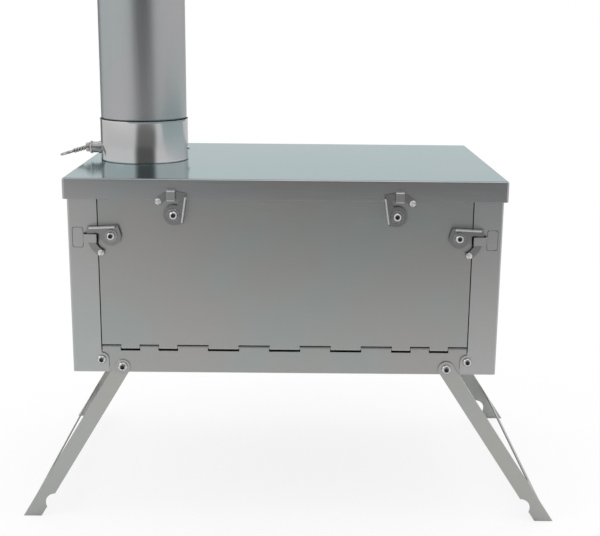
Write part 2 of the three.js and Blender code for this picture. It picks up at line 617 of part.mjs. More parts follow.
function doorPlate() {
  const { door, hinge, doorEye, lever, air } = doorPlaces();
  const plate = plateYZ(roundedRectangle(door.y, door.z, DOOR_CORNER), door.x, 5);
  const eye = bar('z', hinge.x, hinge.y, HINGE_RADIUS, doorEye, SCREW_FACETS);
  const tongue = box(door.x, [hinge.y, door.y[0] + LAP], doorEye);
  const holes = airHoles(0);
  holes.push(bore('x', lever.y, lever.z, SCREW_RADIUS, doorDepth));
  for (const side of [-1, 1]) holes.push(bore('x', side * rivetY, air.z, SCREW_RADIUS, doorDepth));
  return mesh('door', cut(join([plate, eye, tongue]), [hingeBore(), ...holes]), satin);
}

function doorPin() {
  const { hinge, panelEyes } = doorPlaces();
  const [low, high] = [panelEyes[0][0] - SHEET, panelEyes[1][1] + GAP];
  const pin = bar('z', hinge.x, hinge.y, HINGE_PIN_RADIUS, [low, high + SHEET]);
  const head = bar('z', hinge.x, hinge.y, HINGE_RADIUS * 0.8, [high, high + 2 * SHEET], SCREW_FACETS);
  return mesh('door_hinge_pin', pin.add(head), bright);
}

// The lever rests upright, clear of the catch, and turns down towards the free edge to lock.
function doorLever() {
  const { lever } = doorPlaces();
  const x = [lever.x, lever.x + DOOR_SHEET];
  const half = LEVER_WIDTH / 2;
  const shape = new THREE.Shape();
  const shoulder = THREE.MathUtils.degToRad(LEVER_SHOULDER);
  shape.absarc(lever.y, lever.z, LEVER_HUB, Math.PI - shoulder, Math.PI * 2 + shoulder);
  shape.absarc(lever.y, lever.z + LEVER_LENGTH - half, half, 0, Math.PI);
  const plate = plateYZ(shape, x, 8);
  const hole = bore('x', lever.y, lever.z, SCREW_RADIUS, doorDepth);
  return mesh('door_lever', plate.subtract(hole), satin);
}

// Turned knob on a stud through the lever and the door, with its nut behind the door.
function doorKnob() {
  const { lever, door } = doorPlaces();
  const back = door.x[0] - GAP;
  const out = lever.x + DOOR_SHEET + GAP;
  const nut = SCREW_RADIUS * NUT_RATIO;
  const profile = [
    [0, back - NUT_HEIGHT], [nut, back - NUT_HEIGHT], [nut, back], [SCREW_RADIUS, back],
    [SCREW_RADIUS, out],
  ];
  // The turned outline: part of the knob's radius at each part of its length.
  for (const [wide, along] of [[0.62, 0], [0.55, 0.3], [0.9, 0.5], [1, 0.75], [0.8, 0.95], [0.4, 1], [0, 1]]) {
    profile.push([KNOB_RADIUS * wide, out + KNOB_LENGTH * along]);
  }
  const geometry = new THREE.LatheGeometry(profile.map(([r, w]) => new THREE.Vector2(r, w)), 12);
  return mesh('door_knob', solid(geometry.rotateZ(-Math.PI / 2).translate(0, lever.y, lever.z)), knobMetal);
}

// The slider covers the door's three air holes and travels along Y on two rivets in slots.
function airSlider() {
  const { air } = doorPlaces();
  const x = [air.x, air.x + DOOR_SHEET];
  const y = [-SLIDER[0] / 2 - SLIDER_TRAVEL / 2, SLIDER[0] / 2 - SLIDER_TRAVEL / 2];
  const z = [air.z - SLIDER[1] / 2, air.z + SLIDER[1] / 2];
  const plate = plateYZ(roundedRectangle(y, z, SLIDER_CORNER), x, 3);
  const tabZ = [air.z - SLIDER_TAB[1] / 2, air.z + SLIDER_TAB[1] / 2];
  const tab = box([x[0], x[1] + SLIDER_TAB[0]], [y[0], y[0] + DOOR_SHEET], tabZ);
  const half = SCREW_RADIUS + 2 * GAP;
  const slots = [-1, 1].map((side) => {
    const slotY = [side * rivetY - SLIDER_TRAVEL - half, side * rivetY + half];
    return box(doorDepth, slotY, [air.z - half, air.z + half]);
  });
  return mesh('air_slider', cut(plate.add(tab), [...slots, ...airHoles(-SLIDER_TRAVEL)]), satin);
}

function sliderRivet(name, side) {
  const { air, door } = doorPlaces();
  const back = door.x[0] - GAP;
  const out = air.x + DOOR_SHEET + GAP;
  const profile = [
    [0, back - RIVET_HEIGHT], [RIVET_HEAD, back - RIVET_HEIGHT], [RIVET_HEAD, back], [SCREW_RADIUS, back],
    [SCREW_RADIUS, out], [RIVET_HEAD, out], [RIVET_HEAD * DOME_RATIO, out + RIVET_HEIGHT],
    [0, out + RIVET_HEIGHT],
  ];
  const geometry = new THREE.LatheGeometry(profile.map(([r, w]) => new THREE.Vector2(r, w)), SCREW_FACETS);
  return mesh(name, solid(geometry.rotateZ(-Math.PI / 2).translate(0, side * rivetY, air.z)), bright);
}

function doorAssembly() {
  const group = new THREE.Group();
  group.add(doorPlate(), doorPin(), doorLever(), doorKnob(), airSlider());
  group.add(sliderRivet('slider_rivet_hinge_side', -1), sliderRivet('slider_rivet_free_side', 1));
  return group;
}

// ---------------------------------------------------------------- lid

// A round-edged block standing on z = 0, used for the lid's outside and inside.
function lidBlock(length, depth, height, round) {
  const across = [-length / 2 + round, length / 2 - round];
  const shape = roundedRectangle(across, [-depth / 2 + round, depth / 2 - round], LID_CORNER);
  const geometry = new THREE.ExtrudeGeometry(shape, {
    depth: height,
    bevelThickness: round,
    bevelSize: round,
    bevelSegments: 2,
    curveSegments: 2,
  });
  const block = solid(geometry.translate(0, 0, -round));
  return block.subtract(box([-length, length], [-depth, depth], [-3 * round - 1, 0]));
}

// A hook folded out and up from the skirt's lower edge. The latch arm passes behind its upright.
function skirtHook(x) {
  const back = -LID_DEPTH / 2 + SHEET;
  const inside = -FACE - KEEPER_HEIGHT;
  const outside = inside - SHEET;
  const low = SKIRT_EDGE - SHEET;
  const top = SKIRT_EDGE + KEEPER_HOOK_RISE;
  const line = new THREE.Shape();
  line.moveTo(back, SKIRT_EDGE + SHEET);
  line.lineTo(back, low);
  line.lineTo(outside + SHEET, low);
  line.lineTo(outside, low + SHEET);
  line.lineTo(outside, top - SHEET);
  line.lineTo(outside - KEEPER_FLARE, top);
  line.lineTo(inside - KEEPER_FLARE, top);
  line.lineTo(inside, top - SHEET);
  line.lineTo(inside, SKIRT_EDGE);
  line.lineTo(back - SHEET, SKIRT_EDGE);
  line.lineTo(back - SHEET, SKIRT_EDGE + SHEET);
  return plateYZ(line, [x - KEEPER_WIDTH / 2, x + KEEPER_WIDTH / 2]);
}

function lid() {
  const outer = lidBlock(LID_LENGTH, LID_DEPTH, SKIRT, BEND);
  const inner = lidBlock(LID_LENGTH - 2 * SHEET, LID_DEPTH - 2 * SHEET, SKIRT - SHEET, BEND - SHEET);
  const shell = outer.subtract(inner).translate([0, 0, SKIRT_EDGE]);
  const flue = bar('z', FLUE_X, 0, FLUE_BORE + COLLAR_WALL + GAP, [SKIRT_EDGE, LID_TOP + THROUGH], ROUND);
  const pieces = [shell.subtract(flue)];
  for (const { place, hand, x } of latchSites()) {
    if (!place.startsWith('top')) continue;
    const hook = skirtHook(x - hand * KEEPER_SHIFT);
    pieces.push(hook, hook.rotate([0, 0, 180]));
  }
  return mesh('lid', join(pieces), lidMetal);
}

// ---------------------------------------------------------------- flue

// Bore of the damper shaft right across the flue and its bush.
const shaftBore = () => bore('x', 0, SHAFT_Z, SHAFT_RADIUS,
  [bushEnd - THROUGH, FLUE_X + COLLAR_RADIUS + THROUGH]);

function flueCollar() {
  const neck = FLUE_BORE + COLLAR_WALL;
  const lip = FLUE_BORE + COLLAR_CLINCH;
  const inside = COLLAR_RADIUS - COLLAR_WALL;
  const ledge = GAP + COLLAR_WALL;
  const under = -SHEET - GAP;
  const profile = [
    [neck, GAP], [COLLAR_RADIUS, GAP], [COLLAR_RADIUS, COLLAR_HEIGHT], [inside, COLLAR_HEIGHT],
    [inside, ledge], [FLUE_BORE, ledge], [FLUE_BORE, under - COLLAR_WALL], [lip, under - COLLAR_WALL],
    [lip, under], [neck, under], [neck, GAP],
  ];
  const ring = lathe(profile, ROUND).translate([FLUE_X, 0, LID_TOP]);
  return mesh('flue_collar', ring.subtract(shaftBore()), pipeMetal);
}

// One chimney section. Two notches at its foot straddle the damper shaft.
function chimneyPipe() {
  const foot = LID_TOP + 2 * GAP + COLLAR_WALL;
  const profile = [
    [PIPE_RADIUS, 0], [PIPE_RADIUS, PIPE_LENGTH], [PIPE_RADIUS - PIPE_WALL, PIPE_LENGTH],
    [PIPE_RADIUS - PIPE_WALL, 0], [PIPE_RADIUS, 0],
  ];
  const tube = lathe(profile, ROUND).translate([FLUE_X, 0, foot]);
  const half = SHAFT_RADIUS + 2 * GAP;
  const across = [FLUE_X - COLLAR_RADIUS, FLUE_X + COLLAR_RADIUS];
  const slot = box(across, [-half, half], [LID_TOP, SHAFT_Z]);
  const arch = bar('x', 0, SHAFT_Z, half, across);
  return mesh('chimney_pipe', tube.subtract(slot.add(arch)), pipeMetal);
}

// Butterfly plate: a disc with a raised sleeve that the shaft runs through.
function damperPlate() {
  const disc = bar('z', FLUE_X, 0, DAMPER_PLATE, [SHAFT_Z - SHEET / 2, SHAFT_Z + SHEET / 2], ROUND);
  const reach = DAMPER_PLATE - SLEEVE_INSET;
  const sleeve = bore('x', 0, SHAFT_Z, SHAFT_RADIUS + SHEET, [FLUE_X - reach, FLUE_X + reach]);
  return mesh('damper_plate', disc.add(sleeve).subtract(shaftBore()), satin);
}

function damperShaft() {
  const from = bushEnd - GAP - HUB_LENGTH / 2;
  const to = FLUE_X + COLLAR_RADIUS + SHAFT_TAIL;
  return mesh('damper_shaft', bar('x', 0, SHAFT_Z, SHAFT_RADIUS, [from, to]), bright);
}

function damperBush() {
  const range = [bushEnd, bushEnd + BUSH_LENGTH];
  const barrel = bar('x', 0, SHAFT_Z, BUSH_RADIUS, range, 16);
  const curved = bar('z', FLUE_X, 0, COLLAR_RADIUS + GAP, [LID_TOP, LID_TOP + COLLAR_HEIGHT], ROUND);
  return mesh('damper_bush', cut(barrel, [shaftBore(), curved]), bright);
}

// Centre line of the handle's one wire: out along the twist, round the loop and back.
class HandleWire extends THREE.Curve {
  getPoint(t) {
    const strand = WIRE_RADIUS + WIRE_GAP / 2;
    const out = TWIST_LENGTH / (2 * TWIST_LENGTH + Math.PI * LOOP_LENGTH);
    const spin = TWIST_TURNS * 2 * Math.PI;
    if (t < out) {
      const k = t / out;
      return new THREE.Vector3(-k * TWIST_LENGTH, strand * Math.cos(spin * k), strand * Math.sin(spin * k));
    }
    if (t > 1 - out) {
      const k = (1 - t) / out;
      return new THREE.Vector3(-k * TWIST_LENGTH, -strand * Math.cos(spin * k), -strand * Math.sin(spin * k));
    }
    const around = (t - out) / (1 - 2 * out) * Math.PI * 2;
    const sign = Math.cos(spin);
    const along = (1 - Math.cos(around)) / 2 * LOOP_LENGTH;
    const across = strand * Math.cos(around / 2) + LOOP_WIDTH / 2 * Math.sin(around);
    return new THREE.Vector3(-TWIST_LENGTH - along, sign * across, 0);
  }
}

function damperHandle() {
  const hubRange = [bushEnd - GAP - HUB_LENGTH, bushEnd - GAP];
  const hub = bar('x', 0, SHAFT_Z, HUB_RADIUS, hubRange, 12);
  const seat = bore('x', 0, SHAFT_Z, SHAFT_RADIUS, [hubRange[0] + HUB_LENGTH / 2 - GAP, bushEnd]);
  const section = new THREE.Shape();
  section.absarc(0, 0, WIRE_RADIUS, 0, Math.PI * 2);
  const extrudePath = new HandleWire();
  const wire = new THREE.ExtrudeGeometry(section, { steps: 40, curveSegments: 3, extrudePath });
  const droop = THREE.MathUtils.degToRad(HANDLE_DROOP);
  wire.rotateY(-droop).translate(hubRange[0] + WIRE_ROOT, 0, SHAFT_Z);
  return mesh('damper_handle', hub.add(solid(wire)).subtract(seat), wireMetal);
}

function flue() {
  const group = new THREE.Group();
  group.add(flueCollar(), chimneyPipe(), damperPlate(), damperShaft(), damperBush(), damperHandle());
  return group;
}

// ---------------------------------------------------------------- leg frames

// One leg frame: two legs with folded rims and the crossbar that joins them, one bent sheet.
// side is -1 for the left frame, whose legs are inside the base, and +1 for the right, outside it.
function legFrame(name, side, splay) {
  const angle = THREE.MathUtils.degToRad(splay);
  const half = LEG_WIDTH / 2;
  const face = side < 0 ? FACE - SHEET - GAP : FACE + GAP + LEG_SHEET;   // outer face of a leg
  const soleAt = (across) => (LEG_Z + across * Math.sin(angle)) / Math.cos(angle);
  const notch = soleAt(-half) - NOTCH_HEIGHT;
  const reach = NOTCH_RADIUS - NOTCH_DEPTH;      // notch centre outside the inner edge
  const spread = Math.acos(reach / NOTCH_RADIUS);

  // Drawn with the leg hanging down: X across towards the outer edge, Y upwards along the leg.
  const leg = new THREE.Shape();
  leg.absarc(0, 0, half, 0, Math.PI);
  leg.absarc(-half - reach, -notch, NOTCH_RADIUS, spread, -spread, true);
  leg.lineTo(-half, -soleAt(-half));
  leg.lineTo(half, -soleAt(half));
  const strap = extruded(leg, LEG_SHEET, 6).rotateX(Math.PI / 2);
  const legs = [
    solid(strap.clone().translate(0, face, 0)),
    solid(strap.clone().translate(0, -face + LEG_SHEET, 0)),
  ];

  // The rims and the crossbar lie in the plane of the outer edges, drawn in Y and Z.
  const low = -(soleAt(half) - CROSSBAR_HEIGHT / Math.cos(angle));
  const high = low + CROSSBAR_WIDTH;
  const rim = face - LEG_RIM;
  const web = new THREE.Shape();
  web.moveTo(-face, -LEG_RIM_START);
  web.lineTo(-face, low);
  web.lineTo(face, low);
  web.lineTo(face, -LEG_RIM_START);
  web.lineTo(rim, -LEG_RIM_START - LEG_RIM);
  web.absarc(rim - CROSSBAR_FILLET, high + CROSSBAR_FILLET, CROSSBAR_FILLET, 0, -Math.PI / 2, true);
  web.absarc(-rim + CROSSBAR_FILLET, high + CROSSBAR_FILLET, CROSSBAR_FILLET, -Math.PI / 2, -Math.PI, true);
  web.lineTo(-rim, -LEG_RIM_START - LEG_RIM);
  const fold = plateYZ(web, [half - LEG_SHEET, half], 5);

  const bores = bore('y', 0, 0, LEG_BOLT_RADIUS, [-face - THROUGH, face + THROUGH]);
  let body = join([...legs, fold]).subtract(bores);
  if (side < 0) body = body.mirror([1, 0, 0]);
  body = body.rotate([0, -side * splay, 0]).translate([side * LEG_X, 0, LEG_Z]);
  return mesh(name, body, legMetal);
}

// ---------------------------------------------------------------- grate

function grate() {
  const top = FLOOR + GRATE_HEIGHT;
  const length = BODY_LENGTH - GRATE_MARGIN[0];
  const x = [-length / 2, length / 2];
  const half = (BODY_DEPTH - GRATE_MARGIN[1]) / 2;
  const pieces = [box(x, [-half, half], [top - SHEET, top])];
  for (const side of [-1, 1]) {
    const y = [side * half, side * (half - SHEET)].sort((a, b) => a - b);
    pieces.push(box(x, y, [FLOOR + GAP, top]));
  }
  const slots = [];
  const count = Math.floor((length - 2 * GRATE_RIM - GRATE_SLOT_WIDTH) / GRATE_SLOT_PITCH) + 1;
  for (let i = 0; i < count; i += 1) {
    const middle = (i - (count - 1) / 2) * GRATE_SLOT_PITCH;
    slots.push(box([middle - GRATE_SLOT_WIDTH / 2, middle + GRATE_SLOT_WIDTH / 2],
      [-half + GRATE_RIM, half - GRATE_RIM], [top - 2 * SHEET, top + SHEET]));
  }
  return mesh('grate', cut(join(pieces), slots), satin);
}

// ---------------------------------------------------------------- assembly

const stove = new THREE.Group();
stove.position.x = BODY_X;
stove.add(baseTray(), longSide('front'), longSide('back'));
stove.add(lowerFixings('front'), lowerFixings('back'));
stove.add(mesh('left_end_panel', endChannel(), satin), rightEndPanel(), doorAssembly());
stove.add(lid(), flue(), grate());
stove.add(legFrame('left_leg_frame', -1, LEFT_SPLAY), legFrame('right_leg_frame', 1, RIGHT_SPLAY));

const root = new THREE.Group();
root.add(stove);
root.updateMatrixWorld(true);

export default root;
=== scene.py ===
"""The looks of a folding sheet-steel tent stove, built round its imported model.

Metres, +X right along the stove with the flue at its left end, +Y away from the viewer, +Z up.
The file follows the stove as it is put together: tray, walls, ends, latches, lid, flue, door, legs.
"""

import json
import math

import bmesh
import bpy
from mathutils import Matrix, Vector

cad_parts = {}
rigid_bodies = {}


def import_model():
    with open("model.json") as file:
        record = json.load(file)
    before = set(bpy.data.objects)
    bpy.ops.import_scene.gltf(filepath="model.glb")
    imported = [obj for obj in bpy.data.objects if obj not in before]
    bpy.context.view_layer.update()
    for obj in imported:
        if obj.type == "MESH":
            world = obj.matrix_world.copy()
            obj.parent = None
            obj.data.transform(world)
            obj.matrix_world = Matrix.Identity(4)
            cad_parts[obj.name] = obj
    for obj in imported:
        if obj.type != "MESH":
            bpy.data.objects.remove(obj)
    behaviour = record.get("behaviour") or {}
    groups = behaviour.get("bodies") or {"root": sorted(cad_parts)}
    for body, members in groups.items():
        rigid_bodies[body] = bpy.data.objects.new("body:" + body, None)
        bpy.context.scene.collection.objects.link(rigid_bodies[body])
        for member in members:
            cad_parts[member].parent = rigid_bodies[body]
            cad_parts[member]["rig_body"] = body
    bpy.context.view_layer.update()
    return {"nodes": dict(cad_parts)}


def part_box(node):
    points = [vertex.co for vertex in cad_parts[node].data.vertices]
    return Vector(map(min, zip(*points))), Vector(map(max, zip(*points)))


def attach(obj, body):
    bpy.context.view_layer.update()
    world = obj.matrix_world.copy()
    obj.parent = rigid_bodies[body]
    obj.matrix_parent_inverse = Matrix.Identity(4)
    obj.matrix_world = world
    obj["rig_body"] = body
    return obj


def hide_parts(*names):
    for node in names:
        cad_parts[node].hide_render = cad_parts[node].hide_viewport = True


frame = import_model()
nodes = frame["nodes"]
MM = 0.001

# ---------------------------------------------------------------- camera
# A 64 mm lens a metre in front of the stove, a little right of its middle and above the lid,
# tipped down so that the feet come into the frame. The pipe leaves the frame at the top.

CAMERA_PLACE = Vector((6.7, -1027.1, 451.2)) * MM
CAMERA_YAW = math.radians(0.14)
CAMERA_DOWN = math.radians(13.46)
CAMERA_ROLL = math.radians(0.53)
LENS = 64.3

lens = bpy.data.cameras.new("camera")
lens.sensor_width = 36
lens.lens = LENS
lens.clip_start = 0.01
camera = bpy.data.objects.new("camera", lens)
camera.matrix_world = (
    Matrix.Translation(CAMERA_PLACE)
    @ Matrix.Rotation(-CAMERA_YAW, 4, "Z")
    @ Matrix.Rotation(math.radians(90) - CAMERA_DOWN, 4, "X")
    @ Matrix.Rotation(CAMERA_ROLL, 4, "Z")
)
bpy.context.scene.collection.objects.link(camera)
bpy.context.scene.camera = camera
bpy.context.scene.view_settings.view_transform = "Standard"

# ---------------------------------------------------------------- studio
# A white paper floor in a white tent, with two large soft lamps. The dim room past the tent's open
# side shows in the satin sheet, and a narrow grey screen stands behind the stove's left end.

FLOOR_HALF = 4.0
FLOOR_WHITE = 0.93
FLOOR_GLOW = 0.8
GLOW_FROM, GLOW_TO = 0.3, 1.6
PAPER_ROUGHNESS = 0.9
PAPER_END = -0.35
ROOM_START = -1.8
ROOM_FLOOR = 0.24
ROOM_DIM = 0.14
ROOM_SIDE = (0.156, -0.988, 0)
ROOM_OUTER, ROOM_INNER = 36, 10
SCREEN_DIM = 0.3
SCREEN_SIDE = (-0.588, 0.809, 0)
SCREEN_OUTER, SCREEN_INNER = 13, 9
BACK_DIM = 0.8
BACK_SIDE = (0, 1, 0)
BACK_OUTER, BACK_INNER = 50, 25
TENT_WHITE = 0.95
DIM_UP_TO, WHITE_FROM = 0.3, 0.65
FILL = 0.92
LAMP_TARGET = (0, 0, 0.25)
OVER_LAMP, OVER_SIZE, OVER_WATTS = (0.2, 0.1, 1.9), (1.6, 1.2), 8
LEFT_LAMP, LEFT_SIZE, LEFT_WATTS = (-1.5, -0.6, 1.3), (0.8, 0.8), 4


def sideways(tree, place, side, outer, inner):
    """1 in the directions near side, whatever their height, and 0 away from it. Angles in degrees."""
    link = tree.links.new
    level = tree.nodes.new("ShaderNodeVectorMath")
    level.operation = "MULTIPLY"
    level.inputs[1].default_value = (1, 1, 0)
    link(place, level.inputs[0])
    flat = tree.nodes.new("ShaderNodeVectorMath")
    flat.operation = "NORMALIZE"
    link(level.outputs[0], flat.inputs[0])
    towards = tree.nodes.new("ShaderNodeVectorMath")
    towards.operation = "DOT_PRODUCT"
    towards.inputs[1].default_value = side
    link(flat.outputs[0], towards.inputs[0])
    band = tree.nodes.new("ShaderNodeMapRange")
    band.interpolation_type = "SMOOTHSTEP"
    band.inputs["From Min"].default_value = math.cos(math.radians(outer))
    band.inputs["From Max"].default_value = math.cos(math.radians(inner))
    link(towards.outputs["Value"], band.inputs["Value"])
    return band.outputs[0]


def between(tree, share, start, end, low=0.0, high=1.0):
    """A value that runs smoothly from start to end as share runs from low to high."""
    blend = tree.nodes.new("ShaderNodeMapRange")
    blend.interpolation_type = "SMOOTHSTEP"
    blend.inputs["From Min"].default_value = low
    blend.inputs["From Max"].default_value = high
    blend.inputs["To Min"].default_value = start
    blend.inputs["To Max"].default_value = end
    tree.links.new(share, blend.inputs["Value"])
    return blend.outputs[0]


def product(tree, a, b):
    """The two values multiplied."""
    times = tree.nodes.new("ShaderNodeMath")
    times.operation = "MULTIPLY"
    tree.links.new(a, times.inputs[0])
    tree.links.new(b, times.inputs[1])
    return times.outputs[0]


def studio_floor():
    """White paper. Mirrored in the stove it darkens towards the room and along the screen."""
    mesh = bmesh.new()
    bmesh.ops.create_grid(mesh, x_segments=1, y_segments=1, size=FLOOR_HALF)
    data = bpy.data.meshes.new("studio_floor")
    mesh.to_mesh(data)
    mesh.free()
    floor = bpy.data.objects.new("studio_floor", data)
    bpy.context.scene.collection.objects.link(floor)
    material = bpy.data.materials.new("paper_floor")
    material.use_nodes = True
    tree = material.node_tree
    link = tree.links.new
    shader = tree.nodes["Principled BSDF"]
    shader.inputs["Roughness"].default_value = PAPER_ROUGHNESS
    shader.inputs["Specular IOR Level"].default_value = 0
    path = tree.nodes.new("ShaderNodeLightPath")
    place = tree.nodes.new("ShaderNodeTexCoord")
    axes = tree.nodes.new("ShaderNodeSeparateXYZ")
    link(place.outputs["Object"], axes.inputs[0])
    around = place.outputs["Object"]
    far = between(tree, axes.outputs["Y"], 0, 1, PAPER_END, ROOM_START)
    room = product(tree, far, sideways(tree, around, ROOM_SIDE, ROOM_OUTER, ROOM_INNER))
    screen = sideways(tree, around, SCREEN_SIDE, SCREEN_OUTER, SCREEN_INNER)
    room_tone = between(tree, room, FLOOR_WHITE, ROOM_FLOOR)
    screen_tone = between(tree, screen, 1, SCREEN_DIM)
    tone = tree.nodes.new("ShaderNodeMix")
    tone.inputs[2].default_value = FLOOR_WHITE
    link(path.outputs["Is Glossy Ray"], tone.inputs[0])
    link(product(tree, room_tone, screen_tone), tone.inputs[3])
    link(tone.outputs[0], shader.inputs["Base Color"])
    glow = tree.nodes.new("ShaderNodeEmission")
    share = between(tree, axes.outputs["Y"], FLOOR_GLOW, 1, GLOW_FROM, GLOW_TO)
    mix = tree.nodes.new("ShaderNodeMixShader")
    link(product(tree, path.outputs["Is Camera Ray"], share), mix.inputs[0])
    link(shader.outputs[0], mix.inputs[1])
    link(glow.outputs[0], mix.inputs[2])
    link(mix.outputs[0], tree.nodes["Material Output"].inputs["Surface"])
    data.materials.append(material)


def tent():
    """The white tent all round, with the room, the screen and a slightly dimmer back."""
    world = bpy.data.worlds.new("tent")
    bpy.context.scene.world = world
    world.use_nodes = True
    tree = world.node_tree
    link = tree.links.new
    background = tree.nodes["Background"]
    background.inputs["Color"].default_value = (1, 1, 1, 1)
    place = tree.nodes.new("ShaderNodeTexCoord")
    axes = tree.nodes.new("ShaderNodeSeparateXYZ")
    link(place.outputs["Generated"], axes.inputs[0])
    around = place.outputs["Generated"]
    low = between(tree, axes.outputs["Z"], 1, 0, DIM_UP_TO, WHITE_FROM)
    room = product(tree, low, sideways(tree, around, ROOM_SIDE, ROOM_OUTER, ROOM_INNER))
    screen = product(tree, low, sideways(tree, around, SCREEN_SIDE, SCREEN_OUTER, SCREEN_INNER))
    back = sideways(tree, around, BACK_SIDE, BACK_OUTER, BACK_INNER)
    room_tone = between(tree, room, TENT_WHITE, ROOM_DIM)
    screen_tone = between(tree, screen, 1, SCREEN_DIM)
    back_tone = between(tree, back, 1, BACK_DIM)
    screened = product(tree, product(tree, room_tone, screen_tone), back_tone)
    path = tree.nodes.new("ShaderNodeLightPath")
    shown = tree.nodes.new("ShaderNodeMix")
    shown.inputs[3].default_value = FILL
    link(path.outputs["Is Diffuse Ray"], shown.inputs[0])
    link(screened, shown.inputs[2])
    seen = tree.nodes.new("ShaderNodeMix")
    seen.inputs[3].default_value = 1.0
    link(path.outputs["Is Camera Ray"], seen.inputs[0])
    link(shown.outputs[0], seen.inputs[2])
    link(seen.outputs[0], background.inputs["Strength"])


def lamp(name, place, target, size, watts):
    """A square soft lamp aimed at the target."""
    data = bpy.data.lights.new(name, "AREA")
    data.shape = "RECTANGLE"
    data.size, data.size_y = size
    data.energy = watts
    light = bpy.data.objects.new(name, data)
    aim = (Vector(target) - Vector(place)).to_track_quat("-Z", "Y")
    light.matrix_world = Matrix.Translation(place) @ aim.to_matrix().to_4x4()
    bpy.context.scene.collection.objects.link(light)


studio_floor()
tent()
lamp("over_lamp", OVER_LAMP, LAMP_TARGET, OVER_SIZE, OVER_WATTS)
lamp("left_lamp", LEFT_LAMP, LAMP_TARGET, LEFT_SIZE, LEFT_WATTS)

# ---------------------------------------------------------------- base tray
# The floor tray is one steel sheet, folded down along both long sides and both ends. Strips along the
# long sides end in rolls for the hinge pins. Satin rolled finish, with edges rounded by tumbling.

STEEL = (0.368, 0.372, 0.363)
EDGE = 0.22 * MM
EDGE_SEGMENTS = 2
# Black for painted shade along seam gaps, standing in for their shadow.
PAINTED_SHADE_COLOUR = (0.02, 0.02, 0.02, 1)
GRAIN_ACROSS, GRAIN_ALONG = 2600, 22
CLOUD_SCALE = 14
CLOUD_LOW, CLOUD_HIGH = 0.36, 0.64
GRAIN_BUMP = 0.06
GRAIN_DEPTH = 0.02 * MM
WELD = 0.001 * MM
FLAT_ANGLE = 0.5
TURNING_MARKS = 900
HINGE_LOW, HINGE_HIGH = 158 * MM, 171 * MM
SEAM_DEPTH = 1.1 * MM


def paint_seam_shade(tree, place, finish, shaded_seams):
    """The finish with black painted shade along each seam, standing in for the shadow in its gap: (axis,
    middle, half width, lowest height).
    """
    link = tree.links.new
    axes = tree.nodes.new("ShaderNodeSeparateXYZ")
    link(place, axes.inputs[0])
    for axis, middle, half, lowest in shaded_seams:
        line = tree.nodes.new("ShaderNodeMath")
        line.operation = "COMPARE"
        line.inputs[1].default_value = middle
        line.inputs[2].default_value = half
        link(axes.outputs[axis], line.inputs[0])
        above = tree.nodes.new("ShaderNodeMath")
        above.operation = "GREATER_THAN"
        above.inputs[1].default_value = lowest
        link(axes.outputs[2], above.inputs[0])
        seam_shaded = tree.nodes.new("ShaderNodeMix")
        seam_shaded.data_type = "RGBA"
        seam_shaded.inputs[7].default_value = PAINTED_SHADE_COLOUR
        link(product(tree, line.outputs[0], above.outputs[0]), seam_shaded.inputs[0])
        link(finish, seam_shaded.inputs[6])
        finish = seam_shaded.outputs[2]
    return finish


def rolled_steel(name, colour, roughness, grain_axis=0, tint=0.05, grain=0.02, film=0.9, shaded_seams=()):
    """Satin sheet: fine rolling lines along one axis, faint cloudy tints and uneven gloss, with black
    painted shade along any seam lines given.
    """
    material = bpy.data.materials.new(name)
    material.use_nodes = True
    tree = material.node_tree
    link = tree.links.new
    shader = tree.nodes["Principled BSDF"]
    shader.inputs["Metallic"].default_value = 1
    shader.inputs["Specular Tint"].default_value = (film, film, film, 1)
    place = tree.nodes.new("ShaderNodeTexCoord")

    lines_place = tree.nodes.new("ShaderNodeMapping")
    scale = [GRAIN_ACROSS] * 3
    scale[grain_axis] = GRAIN_ALONG
    lines_place.inputs["Scale"].default_value = scale
    link(place.outputs["Object"], lines_place.inputs["Vector"])
    lines = tree.nodes.new("ShaderNodeTexNoise")
    lines.inputs["Scale"].default_value = 1
    lines.inputs["Detail"].default_value = 3
    link(lines_place.outputs[0], lines.inputs["Vector"])

    clouds = tree.nodes.new("ShaderNodeTexNoise")
    clouds.inputs["Scale"].default_value = CLOUD_SCALE
    clouds.inputs["Detail"].default_value = 2
    link(place.outputs["Object"], clouds.inputs["Vector"])
    ramp = tree.nodes.new("ShaderNodeValToRGB")
    red, green, blue = colour
    cool = (red * (1 - tint), green * (1 + tint * 0.4), blue * (1 + tint * 0.4), 1)
    warm = (red * (1 + tint * 0.6), green * (1 - tint * 0.2), blue, 1)
    ramp.color_ramp.elements[0].position = CLOUD_LOW
    ramp.color_ramp.elements[0].color = cool
    ramp.color_ramp.elements.new(0.5).color = (red, green, blue, 1)
    ramp.color_ramp.elements[-1].position = CLOUD_HIGH
    ramp.color_ramp.elements[-1].color = warm
    link(clouds.outputs["Fac"], ramp.inputs["Fac"])
    streak = tree.nodes.new("ShaderNodeMapRange")
    streak.inputs["To Min"].default_value = 1 - grain * 2
    streak.inputs["To Max"].default_value = 1 + grain * 2
    link(lines.outputs["Fac"], streak.inputs["Value"])
    shade = tree.nodes.new("ShaderNodeVectorMath")
    shade.operation = "SCALE"
    link(ramp.outputs["Color"], shade.inputs[0])
    link(streak.outputs[0], shade.inputs["Scale"])
    # Painted shade: black bands in the colour along the given seam lines, standing in for the shadow in the
    # gaps.
    link(paint_seam_shade(tree, place.outputs["Object"], shade.outputs[0], shaded_seams), shader.inputs["Base Color"])

    gloss = tree.nodes.new("ShaderNodeMapRange")
    gloss.inputs["From Min"].default_value = 0.3
    gloss.inputs["From Max"].default_value = 0.7
    gloss.inputs["To Min"].default_value = roughness * 0.9
    gloss.inputs["To Max"].default_value = roughness * 1.12
    link(lines.outputs["Fac"], gloss.inputs["Value"])
    link(gloss.outputs[0], shader.inputs["Roughness"])

    bump = tree.nodes.new("ShaderNodeBump")
    bump.inputs["Strength"].default_value = GRAIN_BUMP
    bump.inputs["Distance"].default_value = GRAIN_DEPTH
    link(lines.outputs["Fac"], bump.inputs["Height"])
    link(bump.outputs["Normal"], shader.inputs["Normal"])
    return material


